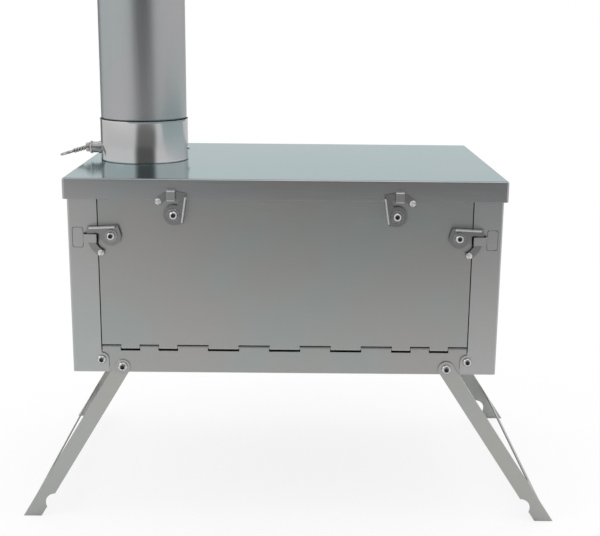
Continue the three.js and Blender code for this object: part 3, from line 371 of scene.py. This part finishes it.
def as_object(name, mesh, materials):
    """The finished mesh, smooth shaded, as an object in the scene."""
    for face in mesh.faces:
        face.smooth = True
    data = bpy.data.meshes.new(name)
    mesh.to_mesh(data)
    mesh.free()
    for material in materials:
        data.materials.append(material)
    piece = bpy.data.objects.new(name, data)
    bpy.context.scene.collection.objects.link(piece)
    return piece


def dressed(node, material, edge=EDGE, angle=28, others=()):
    """The node's own sheet, its loose triangles joined up and its sharp folds and cut edges rounded.

    others are pairs of a material and a test that says which faces have it.
    """
    mesh = bmesh.new()
    mesh.from_mesh(nodes[node].data)
    bmesh.ops.remove_doubles(mesh, verts=mesh.verts, dist=WELD)
    bmesh.ops.dissolve_limit(mesh, angle_limit=math.radians(FLAT_ANGLE), verts=mesh.verts, edges=mesh.edges)
    mesh.normal_update()
    for face in mesh.faces:
        for i, (_, picks) in enumerate(others, 1):
            if picks(face):
                face.material_index = i
    for seam in mesh.edges:
        seam.smooth = seam.calc_face_angle(0) < math.radians(angle)
    piece = as_object(f"{node}_sheet", mesh, [material, *[other for other, _ in others]])
    bevel = piece.modifiers.new("rounded_edges", "BEVEL")
    bevel.width = edge
    bevel.segments = EDGE_SEGMENTS
    bevel.limit_method = "ANGLE"
    bevel.angle_limit = math.radians(angle)
    bevel.use_clamp_overlap = True
    flats = piece.modifiers.new("flat_faces", "WEIGHTED_NORMAL")
    flats.mode = "FACE_AREA"
    flats.weight = 100
    flats.keep_sharp = True
    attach(piece, nodes[node]["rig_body"])
    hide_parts(node)


def polished_steel(name, colour, roughness):
    """Polished hardware: clean metal with faint turning marks."""
    material = bpy.data.materials.new(name)
    material.use_nodes = True
    tree = material.node_tree
    link = tree.links.new
    shader = tree.nodes["Principled BSDF"]
    shader.inputs["Metallic"].default_value = 1
    place = tree.nodes.new("ShaderNodeTexCoord")
    marks = tree.nodes.new("ShaderNodeTexNoise")
    marks.inputs["Scale"].default_value = TURNING_MARKS
    marks.inputs["Detail"].default_value = 2
    link(place.outputs["Object"], marks.inputs["Vector"])
    shade = tree.nodes.new("ShaderNodeMapRange")
    shade.inputs["To Min"].default_value = roughness * 0.7
    shade.inputs["To Max"].default_value = roughness * 1.3
    link(marks.outputs["Fac"], shade.inputs["Value"])
    link(shade.outputs[0], shader.inputs["Roughness"])
    tone = tree.nodes.new("ShaderNodeMix")
    tone.data_type = "RGBA"
    tone.inputs[6].default_value = (*[c * 0.92 for c in colour], 1)
    tone.inputs[7].default_value = (*colour, 1)
    link(marks.outputs["Fac"], tone.inputs[0])
    link(tone.outputs[2], shader.inputs["Base Color"])
    return material


wall_low, wall_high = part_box("front_panel")
wall_face = wall_low.y


def hinge_cut(face):
    """The cut edges in the stepped hinge seam, which get painted shade."""
    place = face.calc_center_median()
    in_seam = abs(place.y) > abs(wall_face) - SEAM_DEPTH and HINGE_LOW < place.z < HINGE_HIGH
    return in_seam and abs(face.normal.z) > 0.7


body_steel = rolled_steel("satin_body_steel", STEEL, 0.36, tint=0.04)
# Painted shade: near-black metal on cut faces in the hinge seam, the screw sockets and the lid hooks' sides,
# where shadow falls.
painted_shade_steel = polished_steel("painted_shade_metal", (0.05, 0.05, 0.05), 0.45)
dressed("base_tray", body_steel, others=[(painted_shade_steel, hinge_cut)])

# ---------------------------------------------------------------- long walls
# Flat sheets folded in along the top. Their lower edges are cut into rolls that share a straight wire
# pin with the tray's, so that the walls fold flat.

SEAM_HALF = 0.45 * MM
SEAM_GAP = 0.5 * MM
FACETS = 128
TURNED_SHARP = 35
CHAMFER = 0.3 * MM
HINGE_WIRE = 0.95 * MM
HINGE_WIRE_END = 0.7
HINGE_WIRE_FACETS = 24

# Painted shade: black lines in the walls' and ends' colour along the gaps where the end flanges lap the
# walls.
shaded_seams = [
    (0, wall_low.x - SEAM_GAP / 2, SEAM_HALF, wall_low.z),
    (0, wall_high.x + SEAM_GAP / 2, SEAM_HALF, wall_low.z),
]
wall_steel = rolled_steel("satin_wall_steel", STEEL, 0.36, tint=0.04, shaded_seams=shaded_seams)
bright_steel = polished_steel("polished_steel", (0.56, 0.56, 0.57), 0.14)


def spun(profile, facets, closed):
    """A mesh spun about Z from a profile of (radius, place along the axis)."""
    mesh = bmesh.new()
    points = [mesh.verts.new((radius, 0, along)) for radius, along in profile]
    pairs = list(zip(points, points[1:]))
    if closed:
        pairs.append((points[-1], points[0]))
    for pair in pairs:
        mesh.edges.new(pair)
    bmesh.ops.spin(mesh, geom=mesh.verts[:] + mesh.edges[:], cent=(0, 0, 0), axis=(0, 0, 1), steps=facets,
                   angle=math.radians(360), use_merge=True)
    bmesh.ops.remove_doubles(mesh, verts=mesh.verts, dist=WELD / 10)
    return mesh


def turned(name, profile, axis_place, material, body, stands_for, direction="Z", facets=FACETS,
           closed=True):
    """A round piece along Z or X. closed joins the profile's ends, for a ring or a tube."""
    mesh = spun(profile, facets, closed)
    bmesh.ops.recalc_face_normals(mesh, faces=mesh.faces)
    if direction == "X":
        mesh.transform(Matrix.Rotation(math.radians(90), 4, "Y"))
    mesh.transform(Matrix.Translation(axis_place))
    piece = as_object(name, mesh, [material])
    piece.data.set_sharp_from_angle(angle=math.radians(TURNED_SHARP))
    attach(piece, body)
    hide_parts(stands_for)
    return piece


for side in ("front", "back"):
    dressed(f"{side}_panel", wall_steel, others=[(painted_shade_steel, hinge_cut)])
    wire_low, wire_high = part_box(f"{side}_hinge_pin")
    turned(f"{side}_hinge_pin_wire", [
        (0, wire_low.x), (HINGE_WIRE * HINGE_WIRE_END, wire_low.x), (HINGE_WIRE, wire_low.x + CHAMFER),
        (HINGE_WIRE, wire_high.x - CHAMFER), (HINGE_WIRE * HINGE_WIRE_END, wire_high.x), (0, wire_high.x),
    ], (0, (wire_low.y + wire_high.y) / 2, (wire_low.z + wire_high.z) / 2), bright_steel,
        nodes[f"{side}_hinge_pin"]["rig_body"], f"{side}_hinge_pin", "X", HINGE_WIRE_FACETS, closed=False)

# ---------------------------------------------------------------- end panels
# U-shaped sheets whose flanges lap the long sides. A strap for the side latch is pressed out of each
# flange, and the right end has the door's opening, hinge eyes and catch.

END_COLOUR = (0.42, 0.424, 0.42)
# The ends carry the same painted shade lines along the flange gaps.
end_steel = rolled_steel("satin_end_steel", END_COLOUR, 0.36, tint=0.04, shaded_seams=shaded_seams)
for side in ("left", "right"):
    dressed(f"{side}_end_panel", end_steel)

# ---------------------------------------------------------------- grate
# A folded plate with slots that lies loose over the floor.

dressed("grate", body_steel)

# ---------------------------------------------------------------- screws
# Polished button-head screws with a hexagon socket and a nut inside. They hold the tray, ends and legs
# together at the corners, the left legs on a washer.

HEAD_HEIGHT = 2.3 * MM
HEAD_SIDE = 0.22
CORNER_HEAD, LEG_HEAD = 4 * MM, 4.3 * MM
SHANK, LEG_SHANK = 2 * MM, 2.5 * MM
LEG_WASHER = 6.5 * MM
WASHER_HEIGHT = 0.7 * MM
WASHER_CHAMFER = 0.15 * MM
NUT = 1.7
NUT_HEIGHT = 2.4 * MM
SOCKET = 0.5
SOCKET_RIM = 1.12
SOCKET_DEPTH = 1.2 * MM
DOME_FROM, DOME_TO = math.radians(8), math.radians(62)
DOME_STEPS = 6
SCREW_FACETS = 36
SCREW_SHARP = 38
washer_steel = polished_steel("plain_washer_steel", (0.36, 0.36, 0.36), 0.25)


def screw_profile(length, head, shank, washer):
    """From the nut's end to the bottom of the socket, as (radius, place along the screw)."""
    nut = shank * NUT
    head_seat = length - HEAD_HEIGHT
    washer_seat = head_seat - (WASHER_HEIGHT if washer else 0)
    profile = [(0, 0), (nut * 0.88, 0), (nut, CHAMFER), (nut, NUT_HEIGHT), (shank, NUT_HEIGHT),
               (shank, washer_seat)]
    if washer:
        profile += [(washer - WASHER_CHAMFER, washer_seat), (washer, washer_seat + WASHER_CHAMFER),
                    (washer, head_seat - WASHER_CHAMFER), (washer - WASHER_CHAMFER, head_seat)]
    side = HEAD_HEIGHT * HEAD_SIDE
    profile += [(head * 0.97, head_seat), (head, head_seat + side * 0.4), (head, head_seat + side)]
    for i in range(1, DOME_STEPS + 1):
        angle = DOME_FROM + (DOME_TO - DOME_FROM) * i / DOME_STEPS
        rise = (HEAD_HEIGHT - side) * math.sin(angle) / math.sin(DOME_TO)
        inwards = (1 - SOCKET * SOCKET_RIM) * (1 - math.cos(angle)) / (1 - math.cos(DOME_TO))
        profile.append((head * (1 - inwards), head_seat + side + rise))
    socket = head * SOCKET
    profile += [(socket, length), (socket, length - SOCKET_DEPTH), (0, length - SOCKET_DEPTH * 1.25)]
    return profile, washer_seat, head_seat


def button_screw(node, out, head, shank=SHANK, washer=0.0):
    """A turned screw over a CAD screw. out is -1 on the -Y side and +1 on the other."""
    low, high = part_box(node)
    middle = (low + high) / 2
    nut_end = high.y if out < 0 else low.y
    profile, washer_seat, head_seat = screw_profile(high.y - low.y, head, shank, washer)
    mesh = spun(profile, SCREW_FACETS, False)
    socket = head * SOCKET
    for vert in mesh.verts:
        radius = math.hypot(vert.co.x, vert.co.y)
        if abs(radius - socket) < WELD:
            turn = math.atan2(vert.co.y, vert.co.x) % math.radians(60) - math.radians(30)
            flat = socket * math.cos(math.radians(30)) / math.cos(turn)
            vert.co.x *= flat / radius
            vert.co.y *= flat / radius
    bmesh.ops.recalc_face_normals(mesh, faces=mesh.faces)
    for face in mesh.faces:
        place = face.calc_center_median()
        # The socket's faces get painted shade, black metal standing in for the shadow in the recess.
        if math.hypot(place.x, place.y) < socket and place.z > head_seat:
            face.material_index = 1
        elif washer and washer_seat - WELD < place.z < head_seat + WELD:
            face.material_index = 2
    outwards = Matrix.Rotation(math.radians(90 if out < 0 else -90), 4, "X")
    mesh.transform(Matrix.Translation((middle.x, nut_end, middle.z)) @ outwards)
    piece = as_object(f"{node}_turned", mesh, [bright_steel, painted_shade_steel, washer_steel])
    piece.data.set_sharp_from_angle(angle=math.radians(SCREW_SHARP))
    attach(piece, "stove")
    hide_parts(node)


for side, out in (("front", -1), ("back", 1)):
    for end in ("left", "right"):
        button_screw(f"corner_screw_{side}_{end}", out, CORNER_HEAD)
    button_screw(f"leg_bolt_{side}_left", out, LEG_HEAD, LEG_SHANK, LEG_WASHER)
    button_screw(f"leg_bolt_{side}_right", out, LEG_HEAD, LEG_SHANK)

# ---------------------------------------------------------------- turn-latches
# Stamped from sheet: a disc with a hooked arm and a thumb lip folded out along the straight edge.
# Each turns on its own screw, with a washer under the head, and the arm ends in a pressed bead.

LATCH_EDGE = 0.3 * MM
LATCH_HEAD, LATCH_WASHER = 3.7 * MM, 5.6 * MM
LATCH_FACE = 3 * MM
LIP_EDGE = 7.4 * MM
LIP_AREA = 60 * MM * MM
TIP_REACH = 17.4 * MM
TIP_ANGLE = math.radians(138)
TIP_SIZE = (2.9 * MM, 2.6 * MM, 0.9 * MM)
SIDE_TURN = math.radians(101)
LATCH_COLOUR = (0.285, 0.285, 0.285)
latch_steel = rolled_steel("stamped_latch_steel", LATCH_COLOUR, 0.3, tint=0.02)
# Painted highlight: a pale metal on the latches' lip faces, arm beads and the lid hooks' level edges,
# standing in for where they catch the light.
painted_highlight_steel = polished_steel("painted_highlight_metal", (0.68, 0.68, 0.69), 0.48)


def pressed_tip(side, place):
    """The bead at the end of a latch's arm, which slides under the strap, made in the pale painted highlight
    metal.
    """
    node = f"latch_{side}_{place}"
    mesh = bmesh.new()
    bmesh.ops.create_uvsphere(mesh, u_segments=28, v_segments=14, radius=1)
    low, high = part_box(f"latch_screw_{side}_{place}")
    hand = -1 if place.endswith("right") else 1
    turn = 0 if place.startswith("top") else SIDE_TURN
    back = math.radians(180 if side == "back" else 0)
    pivot = Vector(((low.x + high.x) / 2, -wall_face if side == "back" else wall_face, (low.z + high.z) / 2))
    mesh.transform(
        Matrix.Translation(pivot)
        @ Matrix.Rotation(back, 4, "Z")
        @ Matrix.Rotation(math.radians(90), 4, "X")
        @ Matrix.Rotation(hand * turn, 4, "Z")
        @ Matrix.Scale(hand, 4, (1, 0, 0))
        @ Matrix.Rotation(TIP_ANGLE, 4, "Z")
        @ Matrix.Translation((TIP_REACH, 0, LATCH_FACE))
        @ Matrix.Diagonal((*TIP_SIZE, 1))
    )
    bmesh.ops.recalc_face_normals(mesh, faces=mesh.faces)
    piece = as_object(f"{node}_tip", mesh, [painted_highlight_steel])
    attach(piece, nodes[node]["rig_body"])


def thumb_lip(face):
    """The lip's edge towards the viewer, and its two broad sides, which get the painted highlight."""
    across = abs(face.normal.y)
    outermost = abs(face.calc_center_median().y) > abs(wall_face) + LIP_EDGE
    return outermost and across > 0.9 or across < 0.3 and face.calc_area() > LIP_AREA


for side, out in (("front", -1), ("back", 1)):
    for place in ("left", "top_left", "top_right", "right"):
        dressed(f"latch_{side}_{place}", latch_steel, edge=LATCH_EDGE,
                others=[(painted_highlight_steel, thumb_lip)])
        pressed_tip(side, place)
        button_screw(f"latch_screw_{side}_{place}", out, LATCH_HEAD, washer=LATCH_WASHER)

# ---------------------------------------------------------------- lid
# The hotplate: a smoother sheet with a skirt folded down all round. Hooks for the top latches are
# folded out of the skirt's lower edge.

LID_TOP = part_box("lid")[1].z
LID_SKIN = 0.2 * MM
HOOK_TOP = 5 * MM
HOOK_FACE = 2.5 * MM
SKIRT_COLOUR = (0.375, 0.378, 0.382)
LID_COLOUR = (0.49, 0.585, 0.6)
LID_FILM = (0.8, 0.87, 0.88, 1)
skirt_steel = rolled_steel("satin_skirt_steel", SKIRT_COLOUR, 0.33, tint=0.03, grain=0.006, film=0.8)
lid_steel = rolled_steel("smooth_lid_steel", LID_COLOUR, 0.13, tint=0.03, grain=0.006)
lid_shader = lid_steel.node_tree.nodes["Principled BSDF"]
lid_shader.inputs["Specular Tint"].default_value = LID_FILM


def hotplate(face):
    """The lid's upper face."""
    return face.calc_center_median().z > LID_TOP - LID_SKIN and face.normal.z > 0.7


def hook(face):
    """The four hooks, which stand out from the skirt."""
    place = face.calc_center_median()
    return abs(place.y) > abs(wall_face) + HOOK_FACE and place.z < LID_TOP - HOOK_TOP


def hook_edge(face):
    """A hook's level cut edges, which get the painted highlight."""
    return hook(face) and abs(face.normal.z) > 0.6


def hook_side(face):
    """A hook's upright cut edges, which get painted shade."""
    return hook(face) and abs(face.normal.x) > 0.9


# The hooks' level edges get painted highlight and their upright sides painted shade, standing in for light
# caught and shadow cast.
dressed("lid", skirt_steel, angle=34,
        others=[(lid_steel, hotplate), (painted_highlight_steel, hook_edge), (painted_shade_steel, hook_side)])

# ---------------------------------------------------------------- flue
# The collar is rolled from sheet and clinched into the lid, its rim flared. The chimney section's
# swaged foot stands inside it.

collar_low, collar_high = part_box("flue_collar")
FLUE_X = (collar_low.x + collar_high.x) / 2
COLLAR = 41.4 * MM
RIM = 41.8 * MM
FOOT = 41.55 * MM
COLLAR_WALL = 0.8 * MM
COLLAR_LEDGE = 38.4 * MM
COLLAR_COLOUR = (0.5, 0.5, 0.505)
COLLAR_SHADE_HALF = 0.2 * MM
LID_SHEET = 1.3 * MM
ROUND_LIP = 0.25 * MM
GAP = 0.3 * MM
neck = COLLAR_LEDGE + COLLAR_WALL
foot = LID_TOP + GAP
ledge = foot + COLLAR_WALL
under = LID_TOP - LID_SHEET
rim = collar_high.z
# Painted shade: a black line in the collar's colour round its rim, standing in for the shadow where the pipe
# enters.
collar_steel = rolled_steel("bright_collar_steel", COLLAR_COLOUR, 0.11, grain_axis=2, tint=0.02, grain=0.01,
                            shaded_seams=[(2, rim, COLLAR_SHADE_HALF, LID_TOP)])
turned("flue_collar_rolled", [
    (neck, foot), (FOOT - ROUND_LIP, foot), (FOOT, foot + ROUND_LIP), (FOOT, foot + 0.8 * MM),
    (COLLAR + 0.1 * MM, foot + 1.4 * MM), (COLLAR, foot + 2 * MM),
    (COLLAR, rim - 2 * MM), (COLLAR + 0.12 * MM, rim - 1.2 * MM), (RIM, rim - 0.1 * MM),
    (RIM - 0.1 * MM, rim), (RIM - COLLAR_WALL, rim), (COLLAR - COLLAR_WALL, rim - 2 * MM),
    (COLLAR - COLLAR_WALL, ledge), (COLLAR_LEDGE, ledge), (COLLAR_LEDGE, collar_low.z),
    (COLLAR, collar_low.z), (COLLAR, under), (neck, under),
], (FLUE_X, 0, 0), collar_steel, "stove", "flue_collar")

pipe_low, pipe_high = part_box("chimney_pipe")
shaft_low, shaft_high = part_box("damper_shaft")
SHAFT_Z = (shaft_low.z + shaft_high.z) / 2
PIPE = 40.3 * MM
PIPE_WALL = 0.8 * MM
PIPE_COLOUR = (0.37, 0.385, 0.39)
PIPE_SHADE_HALF = 0.35 * MM
SWAGE = 39.9 * MM
SWAGE_END = rim + 0.6 * MM
SWAGE_BEND = rim + 1.3 * MM
PIPE_START = rim + 2 * MM
SLOT_HALF = 2.2 * MM
SLOT_FACETS = 24
# Painted shade: a black line in the pipe's colour at the collar's rim, standing in for the joint's shadow.
pipe_steel = rolled_steel("drawn_pipe_steel", PIPE_COLOUR, 0.33, grain_axis=2, tint=0.05,
                          shaded_seams=[(2, rim, PIPE_SHADE_HALF, LID_TOP)])
pipe = turned("chimney_pipe_rolled", [
    (SWAGE - PIPE_WALL, pipe_low.z), (SWAGE, pipe_low.z), (SWAGE, SWAGE_END), (PIPE - 0.1 * MM, SWAGE_BEND),
    (PIPE, PIPE_START), (PIPE, pipe_high.z - ROUND_LIP), (PIPE - ROUND_LIP, pipe_high.z),
    (PIPE - PIPE_WALL + ROUND_LIP, pipe_high.z), (PIPE - PIPE_WALL, pipe_high.z - ROUND_LIP),
    (PIPE - PIPE_WALL, PIPE_START), (SWAGE - PIPE_WALL, SWAGE_END),
], (FLUE_X, 0, 0), pipe_steel, "pipe", "chimney_pipe")

# The pipe's foot has two slots that straddle the damper's shaft.
slots = bmesh.new()
bmesh.ops.create_cone(slots, cap_ends=True, segments=SLOT_FACETS, radius1=SLOT_HALF, radius2=SLOT_HALF,
                      depth=2.4 * PIPE)
slots.transform(Matrix.Translation((FLUE_X, 0, SHAFT_Z)) @ Matrix.Rotation(math.radians(90), 4, "Y"))
for vert in slots.verts:
    if vert.co.z < SHAFT_Z - WELD:
        vert.co.z -= SHAFT_Z - pipe_low.z
bmesh.ops.recalc_face_normals(slots, faces=slots.faces)
slot_data = bpy.data.meshes.new("pipe_slots")
slots.to_mesh(slot_data)
slots.free()
slot_tool = bpy.data.objects.new("pipe_slots", slot_data)
bpy.context.scene.collection.objects.link(slot_tool)
slot_cut = pipe.modifiers.new("slots", "BOOLEAN")
slot_cut.object = slot_tool
slot_cut.operation = "DIFFERENCE"
slot_cut.solver = "EXACT"
cut_pipe = bpy.data.meshes.new_from_object(pipe.evaluated_get(bpy.context.evaluated_depsgraph_get()))
pipe.modifiers.clear()
pipe.data = cut_pipe
cut_pipe.set_sharp_from_angle(angle=math.radians(TURNED_SHARP))
bpy.data.objects.remove(slot_tool)

# ---------------------------------------------------------------- damper
# A butterfly plate on a shaft right across the flue. A turned bush carries the shaft outside the
# collar, and a twisted wire with a loop turns it.

dressed("damper_plate", body_steel)
SHAFT = 1.6 * MM
SHAFT_BORE = 1.8 * MM
SHAFT_FACETS = 32
shaft_line = (0, 0, SHAFT_Z)
turned("damper_shaft_turned", [
    (0, shaft_low.x), (SHAFT - CHAMFER, shaft_low.x), (SHAFT, shaft_low.x + CHAMFER),
    (SHAFT, shaft_high.x - CHAMFER), (SHAFT - CHAMFER, shaft_high.x), (0, shaft_high.x),
], shaft_line, bright_steel, "damper", "damper_shaft", "X", SHAFT_FACETS, closed=False)

BUSH = 6 * MM
BUSH_NOSE = [(0.9 * MM, 0), (0.2 * MM, 0.5 * MM), (0, 1.2 * MM)]
BUSH_RING = 2.2 * MM
BUSH_FLANGE = 2.8 * MM
BUSH_GROOVE = 0.8 * MM
BUSH_SLOPE = 0.6 * MM
BUSH_FACETS = 48
bush_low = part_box("damper_bush")[0]
bush_steel = polished_steel("turned_bush_steel", (0.42, 0.42, 0.42), 0.2)
bush_end = FLUE_X - COLLAR + 0.6 * MM
turned("damper_bush_turned", [
    (SHAFT_BORE, bush_low.x), *[(BUSH - inwards, bush_low.x + back) for inwards, back in BUSH_NOSE],
    (BUSH, bush_low.x + BUSH_RING), (BUSH - BUSH_GROOVE, bush_low.x + BUSH_RING + BUSH_SLOPE),
    (BUSH - BUSH_GROOVE, bush_end - BUSH_FLANGE - BUSH_SLOPE), (BUSH, bush_end - BUSH_FLANGE),
    (BUSH, bush_end), (SHAFT_BORE, bush_end),
], shaft_line, bush_steel, "stove", "damper_bush", "X", BUSH_FACETS)

WIRE = 1.1 * MM
STRAND = 1.15 * MM
HUB = 4.3 * MM
HUB_LENGTH = 3.6 * MM
WIRE_ROOT = 1 * MM
TWIST_LENGTH = 14 * MM
TWIST_TURNS = 2.5
LOOP_LENGTH = 12 * MM
LOOP_WIDTH = 7.5 * MM
DROOP = math.radians(16.5)
WIRE_POINTS = 180
HUB_ROUND = 0.7 * MM
HUB_BORE = SHAFT + 0.1 * MM
wire_steel = polished_steel("dark_wire_steel", (0.36, 0.36, 0.36), 0.16)
handle_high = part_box("damper_handle")[1]
hub_start = handle_high.x - HUB_LENGTH
turned("damper_handle_hub", [
    (HUB_BORE, hub_start), (HUB - HUB_ROUND, hub_start), (HUB, hub_start + HUB_ROUND),
    (HUB, handle_high.x - 0.5 * MM), (HUB - 0.5 * MM, handle_high.x), (HUB_BORE, handle_high.x),
], shaft_line, wire_steel, "damper", "damper_handle", "X", SHAFT_FACETS)


def handle_point(t):
    """A point of the handle's wire: out along the twist, round the loop and back."""
    out = TWIST_LENGTH / (2 * TWIST_LENGTH + math.pi * LOOP_LENGTH)
    spin = TWIST_TURNS * math.tau
    if t < out or t > 1 - out:
        k = min(t, 1 - t) / out
        side = 1 if t < 0.5 else -1
        strand = side * STRAND
        return Vector((-k * TWIST_LENGTH, strand * math.cos(spin * k), strand * math.sin(spin * k)))
    around = (t - out) / (1 - 2 * out) * math.tau
    along = (1 - math.cos(around)) / 2 * LOOP_LENGTH
    across = STRAND * math.cos(around / 2) + LOOP_WIDTH / 2 * math.sin(around)
    return Vector((-TWIST_LENGTH - along, math.cos(spin) * across, 0))


bend = bpy.data.curves.new("damper_handle_wire", "CURVE")
bend.dimensions = "3D"
bend.bevel_depth = WIRE
bend.bevel_resolution = 4
bend.use_fill_caps = True
wire_line = bend.splines.new("POLY")
wire_line.points.add(WIRE_POINTS)
turn_down = Matrix.Translation((hub_start + WIRE_ROOT, 0, SHAFT_Z)) @ Matrix.Rotation(-DROOP, 4, "Y")
for i, point in enumerate(wire_line.points):
    point.co = (*(turn_down @ handle_point(i / WIRE_POINTS)), 1)
bent = bpy.data.objects.new("wire_line", bend)
bpy.context.scene.collection.objects.link(bent)
wire_data = bpy.data.meshes.new_from_object(bent.evaluated_get(bpy.context.evaluated_depsgraph_get()))
bpy.data.objects.remove(bent)
for face in wire_data.polygons:
    face.use_smooth = True
wire_data.materials.clear()
wire_data.materials.append(wire_steel)
wire = bpy.data.objects.new("damper_handle_wire", wire_data)
bpy.context.scene.collection.objects.link(wire)
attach(wire, "damper")
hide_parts("damper_handle")

# ---------------------------------------------------------------- door
# The firing door in the right end: plate, hinge pin, lever with a turned knob, and an air slider on
# two rivets.

dressed("door", body_steel)
pin_low, pin_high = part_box("door_hinge_pin")
PIN = 1.5 * MM
PIN_HEAD = 2.5 * MM
PIN_HEAD_HEIGHT = 2 * MM
PIN_FACETS = 32
PIN_HEAD_ROUND = (0.6 * MM, 0.7 * MM)
turned("door_hinge_pin_turned", [
    (0, pin_low.z), (PIN - CHAMFER, pin_low.z), (PIN, pin_low.z + CHAMFER),
    (PIN, pin_high.z - PIN_HEAD_HEIGHT), (PIN_HEAD, pin_high.z - PIN_HEAD_HEIGHT),
    (PIN_HEAD, pin_high.z - PIN_HEAD_ROUND[1]),
    (PIN_HEAD - PIN_HEAD_ROUND[0], pin_high.z), (0, pin_high.z),
], ((pin_low.x + pin_high.x) / 2, (pin_low.y + pin_high.y) / 2, 0), bright_steel,
    nodes["door_hinge_pin"]["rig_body"], "door_hinge_pin", "Z", PIN_FACETS, closed=False)
dressed("door_lever", latch_steel, edge=LATCH_EDGE)

KNOB = 6.5 * MM
KNOB_LENGTH = 17 * MM
KNOB_FOOT = KNOB * 0.64
KNOB_FOOT_ROUND = (KNOB * 0.04, 0.4 * MM)
KNOB_FOOT_LENGTH = 1.6 * MM
KNOB_WAIST = 0.5
KNOB_WAIST_AT = 0.12
KNOB_SWELL = 0.58
KNOB_DOME = 0.28
KNOB_DOME_SHAPE = 2.4
KNOB_STEPS = 22
KNOB_FACETS = 48
KNOB_NUT = 3.4 * MM
KNOB_NUT_HEIGHT = 2.4 * MM
STUD = 2 * MM
knob_steel = polished_steel("turned_knob_steel", (0.3, 0.3, 0.31), 0.24)
knob_low, knob_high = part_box("door_knob")
knob_foot = knob_high.x - KNOB_LENGTH
knob_line = [
    (0, knob_low.x), (KNOB_NUT, knob_low.x), (KNOB_NUT, knob_low.x + KNOB_NUT_HEIGHT),
    (STUD, knob_low.x + KNOB_NUT_HEIGHT), (STUD, knob_foot), (KNOB_FOOT - KNOB_FOOT_ROUND[0], knob_foot),
    (KNOB_FOOT, knob_foot + KNOB_FOOT_ROUND[1]), (KNOB_FOOT, knob_foot + KNOB_FOOT_LENGTH),
]
for i in range(KNOB_STEPS + 1):
    along = KNOB_WAIST_AT + (1 - KNOB_WAIST_AT) * i / KNOB_STEPS
    swelling = min(1, max(0, (along - KNOB_WAIST_AT) / KNOB_SWELL))
    width = KNOB_WAIST + (1 - KNOB_WAIST) * (1 - math.cos(math.pi * swelling)) / 2
    doming = max(0, along - (1 - KNOB_DOME)) / KNOB_DOME
    crown = math.sqrt(max(0, 1 - doming ** KNOB_DOME_SHAPE))
    knob_line.append((KNOB * width * crown, knob_foot + KNOB_LENGTH * along))
turned("door_knob_turned", knob_line, (0, (knob_low.y + knob_high.y) / 2, (knob_low.z + knob_high.z) / 2),
       knob_steel, nodes["door_knob"]["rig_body"], "door_knob", "X", KNOB_FACETS, closed=False)

SLIDER_EDGE = 0.25 * MM
RIVET = 3.5 * MM
RIVET_HEIGHT = 1.4 * MM
RIVET_DOME = range(0, 91, 15)
dressed("air_slider", latch_steel, edge=SLIDER_EDGE)
for end in ("hinge_side", "free_side"):
    rivet_low, rivet_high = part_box(f"slider_rivet_{end}")
    back_seat, front_seat = rivet_low.x + RIVET_HEIGHT, rivet_high.x - RIVET_HEIGHT
    domed = [(RIVET * math.cos(math.radians(a)), front_seat + RIVET_HEIGHT * math.sin(math.radians(a)))
             for a in RIVET_DOME]
    turned(f"slider_rivet_{end}_turned", [
        (0, rivet_low.x), (RIVET * 0.9, rivet_low.x), (RIVET, rivet_low.x + CHAMFER), (RIVET, back_seat),
        (STUD, back_seat), (STUD, front_seat), *domed,
    ], (0, (rivet_low.y + rivet_high.y) / 2, (rivet_low.z + rivet_high.z) / 2), bright_steel,
        nodes[f"slider_rivet_{end}"]["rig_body"], f"slider_rivet_{end}", "X", PIN_FACETS, closed=False)

# ---------------------------------------------------------------- leg frames
# Two legs and a crossbar bent from one sheet, with folded rims, and thumb notches near the soles.

LEG_COLOUR = (0.39, 0.395, 0.378)
leg_steel = rolled_steel("leg_steel", LEG_COLOUR, 0.34, grain_axis=2, tint=0.02)
for side in ("left", "right"):
    dressed(f"{side}_leg_frame", leg_steel)
